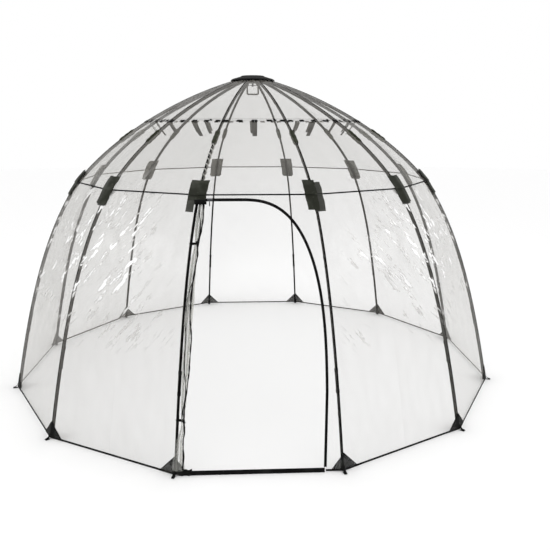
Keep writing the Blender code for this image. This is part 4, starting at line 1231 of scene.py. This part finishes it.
def ribbon_on_front(name, path, half, lift, thick):
    """A ribbon of the half width along a path of (x, z) on the front gore."""
    rows = []
    for i, point in enumerate(path):
        along = (path[min(i + 1, len(path) - 1)] - path[max(i - 1, 0)]).normalized()
        to_left = Vector((-along.y, along.x))
        rows.append([on_front(*(point + to_left * half * (1 - j / 2)), lift) for j in range(5)])
    length = sum((b - a).length for a, b in zip(path, path[1:]))
    return panel(name, [row[::-1] for row in rows], (2 * half, length), thick)


arch = [Vector((-0.300 + (DOOR_CENTRE + 0.300) * i / 24, HEAD)) for i in range(24)]
for i in range(61):
    angle = math.pi / 2 * i / 60
    arch.append(Vector((
        DOOR_CENTRE + DOOR_HALF * math.sin(angle) ** (2 / DOOR_FULL),
        SPRING + RISE * max(math.cos(angle), 0) ** (2 / DOOR_FULL),
    )))
arch += [Vector((jamb(h), h)) for h in (0.40, 0.34, 0.28, 0.22, 0.16, 0.10, 0.06, 0.031)]
halfway = Vector((0, SPRING + RISE * (1 - (-DOOR_CENTRE / DOOR_HALF) ** DOOR_FULL) ** (1 / DOOR_FULL)))
arch_left = [p for p in arch if p.x < -0.001] + [halfway]
arch_right = [halfway] + [p for p in arch if p.x > 0.001]

COIL_PITCH = 0.0048
for name, path, number in (("left", arch_left, SIDES - 1), ("right", arch_right, 0)):
    tag = f"{number + 1:02d}"
    band = ribbon_on_front(f"zip_tape_{name}", path, 0.0080, 0.0155, 0.0014)
    hand_over(band, f"leg_{tag}", black_webbing, "black_webbing", *(["zip_tape"] if name == "left" else []))
    folds_with_leg(band, number)
    # Each turn of the coil is a small block that narrows outwards.
    coils = bmesh.new()
    carried = 0.0
    for a, b in zip(path, path[1:]):
        step = (b - a).length
        along = (b - a).normalized()
        away = Vector((-along.y, along.x))
        while carried < step:
            base = a + along * carried
            corners = []
            for lift in (0.0165, 0.0190):
                for u, v in ((-1, -1), (1, -1), (1, 1), (-1, 1)):
                    flatten = 0.7 if lift > 0.017 else 1.0
                    spot = base + along * 0.0016 * u * flatten - away * (0.0045 - 0.0024 * v * flatten)
                    corners.append(coils.verts.new(on_front(spot.x, spot.y, lift)))
            low, high = corners[:4], corners[4:]
            coils.faces.new(low[::-1])
            coils.faces.new(high)
            for k in range(4):
                coils.faces.new((low[k], low[(k + 1) % 4], high[(k + 1) % 4], high[k]))
            carried += COIL_PITCH
        carried -= step
    bmesh.ops.recalc_face_normals(coils, faces=coils.faces)
    mesh = bpy.data.meshes.new(f"zip_coil_{name}")
    coils.to_mesh(mesh)
    coils.free()
    coil = bpy.data.objects.new(f"zip_coil_{name}", mesh)
    bpy.context.scene.collection.objects.link(coil)
    hand_over(coil, f"leg_{tag}", black_plastic, "zip_fittings")
    folds_with_leg(coil, number)

gunmetal = worn_material(
    "gunmetal_zip_fittings", (0.10, 0.10, 0.105), (0.30, 0.30, 0.30), 0.35, 0.15, 1.0, 30.0
)
refinished("zip_slider", gunmetal)
refinished("zip_pull", gunmetal)


# ---------------------------------------------------------------------------
# Threshold: a thick black strap between the left foot and the right jamb
# that holds the doorway's width. It is in two pieces, one on each leg.
# ---------------------------------------------------------------------------
for name, low, high, number in (("left", -0.452, 0.0, SIDES - 1), ("right", 0.0, 0.366, 0)):
    rows = []
    for height in (0.0255, 0.0235, 0.0130, 0.0045, 0.0025):
        proud = 0.0158 - (0.0012 if height in (0.0255, 0.0025) else 0)
        rows.append([on_front(low + (high - low) * j / 40, height, proud) for j in range(41)])
    sill = panel(f"threshold_strap_{name}", rows, (high - low, 0.023), 0.0030)
    if name == "left":
        # The strap's end is folded back and stitched down beside the foot.
        rows = []
        for height in (0.036, 0.030, 0.020, 0.010, 0.0045):
            rows.append([
                on_front(low - 0.006 + 0.082 * j / 16, height + 0.003 * math.sin(j * 0.9), 0.0195)
                for j in range(17)
            ])
        sill = joined([sill, panel("strap_end", rows, (0.082, 0.032), 0.0030)], f"threshold_strap_{name}")
    hand_over(sill, f"leg_{number + 1:02d}", black_webbing, "black_webbing",
              *(["door_sill"] if name == "left" else []))
    folds_with_leg(sill, number)


# ---------------------------------------------------------------------------
# Door film: the clear door is unzipped and gathered in pleats against the
# left leg, with its black zip edge showing as a wandering strand. The head of
# that edge is rolled up under the left knee pad.
# ---------------------------------------------------------------------------
door_film = film_material("gathered_door_film", (0.62, 0.62, 0.58), 0.020, 0.11, 0.55, 14.0)
left_ahead, left_across = ways_at(tent_turn(SIDES - 1))
GATHER = (
    (1.470, 0.016), (1.430, 0.021), (1.380, 0.024), (1.310, 0.019), (1.262, 0.0105), (1.245, 0.0090),
    (1.228, 0.0105), (1.170, 0.018), (1.000, 0.0225), (0.800, 0.0225), (0.560, 0.0205), (0.400, 0.0165),
    (0.325, 0.0105), (0.300, 0.0090), (0.275, 0.0105), (0.220, 0.017), (0.150, 0.024), (0.090, 0.030),
    (0.034, 0.036),
)


def gathered_radius(height):
    """How thick the gathered film is at a height: least under its two ties."""
    for (high, above), (low, below) in zip(GATHER, GATHER[1:]):
        if height >= low:
            share = eased((high - height) / (high - low))
            return above + (below - above) * share
    return GATHER[-1][1]


def gather_centre(height):
    """The middle of the gathered film beside leg 12, and the way out from the dome there."""
    t = where(WALL, lambda p: p.y < height)
    place, way = on_bow(WALL, t)
    out = left_ahead * -way.y + Vector((0, 0, way.x))
    sway = 0.0025 * noise.noise(Vector((height * 5, 3.3, 0)))
    fallen = eased((0.27 - height) / 0.10)
    aside = 0.030 + sway - 0.012 * fallen
    return left_ahead * place.x + Vector((0, 0, place.y)) + left_across * aside + out * 0.006 * fallen, out


DOOR_FILM_TOP, DOOR_FILM_FOOT = 1.468, 0.030
PLEATS, PLEAT_STEPS = 17, 8
rows = []
for i in range(97):
    height = DOOR_FILM_TOP - (DOOR_FILM_TOP - DOOR_FILM_FOOT) * i / 96
    centre, out = gather_centre(height)
    radius = gathered_radius(height)
    row = []
    for j in range(PLEATS * PLEAT_STEPS + 1):
        share = j / (PLEATS * PLEAT_STEPS)
        angle = 0.3 + 5.9 * share + 0.25 * noise.noise(Vector((share * 6, height * 4, 1)))
        pleat = math.cos(math.tau * share * PLEATS + 2.2 * noise.noise(Vector((share * 5, height * 3.0, 5))))
        uneven = noise.noise(Vector((share * 9, height * 9, 9)))
        deep = radius * (0.62 + 0.36 * pleat) * (1 + 0.30 * uneven)
        row.append(centre + left_across * deep * math.cos(angle) + out * deep * math.sin(angle)
                   + Vector((0, 0, 0.004 * uneven)))
    rows.append(row)
curtain = panel("door_film_gathered", rows, (0.80, 1.46), 0.0004, 0.0)
hand_over(curtain, "leg_12", door_film, "clear_film", "door_curtain")

STRAND_TOP = 1.455
for name, start, wander, thick in (("outer", 0.45, 1.0, 0.0085), ("inner", 1.7, 1.6, 0.0052)):
    points, radii = [], []
    strand_foot = 0.036 if name == "outer" else 0.31
    for i in range(101):
        height = STRAND_TOP - (STRAND_TOP - strand_foot) * i / 100
        centre, out = gather_centre(height)
        angle = start + wander * noise.noise(Vector((height * 4.5, 2.0, start))) * 1.6
        uneven = 0.95 + 0.18 * noise.noise(Vector((height * 12, 6, start)))
        radius = gathered_radius(height) * uneven + 0.001
        points.append(centre + left_across * radius * math.cos(angle) + out * radius * math.sin(angle) * 0.8)
        radii.append(thick * (0.40 + 1.25 * abs(noise.noise(Vector((height * 19, 8, start))))))
    strand = run_of_cord(f"door_zip_edge_{name}", points, radii, 8, 0.35)
    hand_over(strand, "leg_12", black_webbing, "black_webbing")

# The roll is a spiral of the film's edge, from its core out.
ROLL_LEFT, ROLL_LONG, ROLL_TURNS = -0.356, 0.068, 2.4
ROLL_CORE, ROLL_GROWS = 0.0044, 0.0136
rows = []
for i in range(15):
    x = ROLL_LEFT + ROLL_LONG * i / 14
    row = []
    for j in range(61):
        turn = j / 60 * math.tau * ROLL_TURNS
        radius = ROLL_CORE + ROLL_GROWS * j / 60
        radius *= 1 + 0.10 * noise.noise(Vector((x * 60, math.cos(turn), math.sin(turn))))
        centre = on_front(x, 1.4700, 0.0310)
        row.append(centre + Vector((0, -math.cos(turn) * radius, math.sin(turn) * radius * 0.86)))
    rows.append(row)
roll = panel("door_edge_roll", rows, (0.15, 0.066), 0.0011, 0.0)
hand_over(roll, "leg_12", black_webbing, "black_webbing")


# ---------------------------------------------------------------------------
# Door ties: a band of black elastic goes round the left leg and the gathered
# film at two heights, and a barrel toggle on its end is pushed through it.
# ---------------------------------------------------------------------------
BAND_WIDE, BAND_ON_FILM, BAND_ON_ROD = 0.0095, 0.0122, 0.0106
for name, height in (("upper", 1.245), ("lower", 0.300)):
    centre, out = gather_centre(height)
    t = where(WALL, lambda p: p.y < height)
    place, way = on_bow(WALL, t)
    rod_centre = left_ahead * place.x + Vector((0, 0, place.y))
    down = (left_ahead * way.x + Vector((0, 0, way.y))).normalized()
    rows = []
    for level in range(5):
        shift = down * BAND_WIDE * (level / 4 - 0.5)
        row = []
        for j in range(41):
            angle = math.tau * j / 40
            across_way, out_way = math.cos(angle), math.sin(angle)
            bulge = 0.0006 * math.sin(math.pi * level / 4)
            if across_way > 0:
                point = centre + (left_across * across_way + out * out_way) * (BAND_ON_FILM + bulge)
            else:
                point = rod_centre + (left_across * across_way + out * out_way) * (BAND_ON_ROD + bulge)
            row.append(point + shift)
        rows.append(row)
    band = panel(f"door_tie_band_{name}", rows, (0.14, BAND_WIDE), 0.0011)
    hand_over(band, "leg_12", black_webbing, "black_webbing", f"door_tie_{name}")
    drop_selection()
    bpy.ops.mesh.primitive_cylinder_add(vertices=24, radius=0.0052, depth=0.026)
    toggle = rounded(bpy.context.object, 0.0016, 3)
    toggle.rotation_euler = (left_across * 0.55 + down * 0.83).to_track_quat("Z", "Y").to_euler()
    toggle.location = centre + left_across * 0.0125 + out * 0.0155
    hand_over(settled(toggle, f"door_toggle_{name}"), "leg_12", black_plastic, "black_plastic")
    ends = []
    for k in range(9):
        share = k / 8
        lift, aside = 0.014 + 0.006 * math.sin(share * 2.8), 0.002 + 0.020 * share
        ends.append(centre + out * lift + left_across * aside + down * (0.036 * share * share))
    tail = run_of_cord(f"door_tie_tail_{name}", ends, [0.0021] * 9, 8, 0.7)
    hand_over(tail, "leg_12", black_webbing, "black_webbing")


# ---------------------------------------------------------------------------
# Lamp loop: a rectangular wire loop sheathed in grey-olive webbing. Its bare
# top bar turns in a lug under the hub, and a short strap covers the lug.
# ---------------------------------------------------------------------------
loop_low, loop_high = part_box("lamp_loop")
WIRE, SHEATH = 0.0025, 0.0058
half = loop_high[0] - WIRE
top_bar, low_bar = loop_high[2] - WIRE, loop_low[2] + WIRE
corner = 0.009
points = []
for x, z, start in ((half, top_bar, 90), (half, low_bar, 0), (-half, low_bar, -90), (-half, top_bar, -180)):
    centre_x = x - math.copysign(corner, x)
    centre_z = z - corner if z == top_bar else z + corner
    for step in range(7):
        angle = math.radians(start - 15 * step)
        points.append(Vector((centre_x + corner * math.cos(angle), 0, centre_z + corner * math.sin(angle))))
points = [points[-1].lerp(points[0], share) for share in (0.5, 0.75, 0.95)] + points
points += [points[-1].lerp(points[0], share) for share in (0.1, 0.5, 0.98)]
radii = [WIRE if abs(p.z - top_bar) < 0.0005 and abs(p.x) < half - 0.012 else SHEATH for p in points]
wire_loop = run_of_cord("lamp_loop_sheathed", points, radii, 12)
hand_over(wire_loop, "lamp_loop", grey_webbing, "lamp_loop", "lamp_loop")
STRAP_TOP = 2.2105
rows = []
for i in range(9):
    height = STRAP_TOP - (STRAP_TOP - (top_bar - 0.010)) * i / 8
    rows.append([
        Vector((0.0065 * (j / 2 - 1), -0.0085 - 0.0006 * math.sin(math.pi * j / 4), height)) for j in range(5)
    ])
strap = panel("lamp_loop_strap", rows, (0.013, 0.028), 0.0012)
hand_over(strap, "hub", black_webbing, "black_webbing")
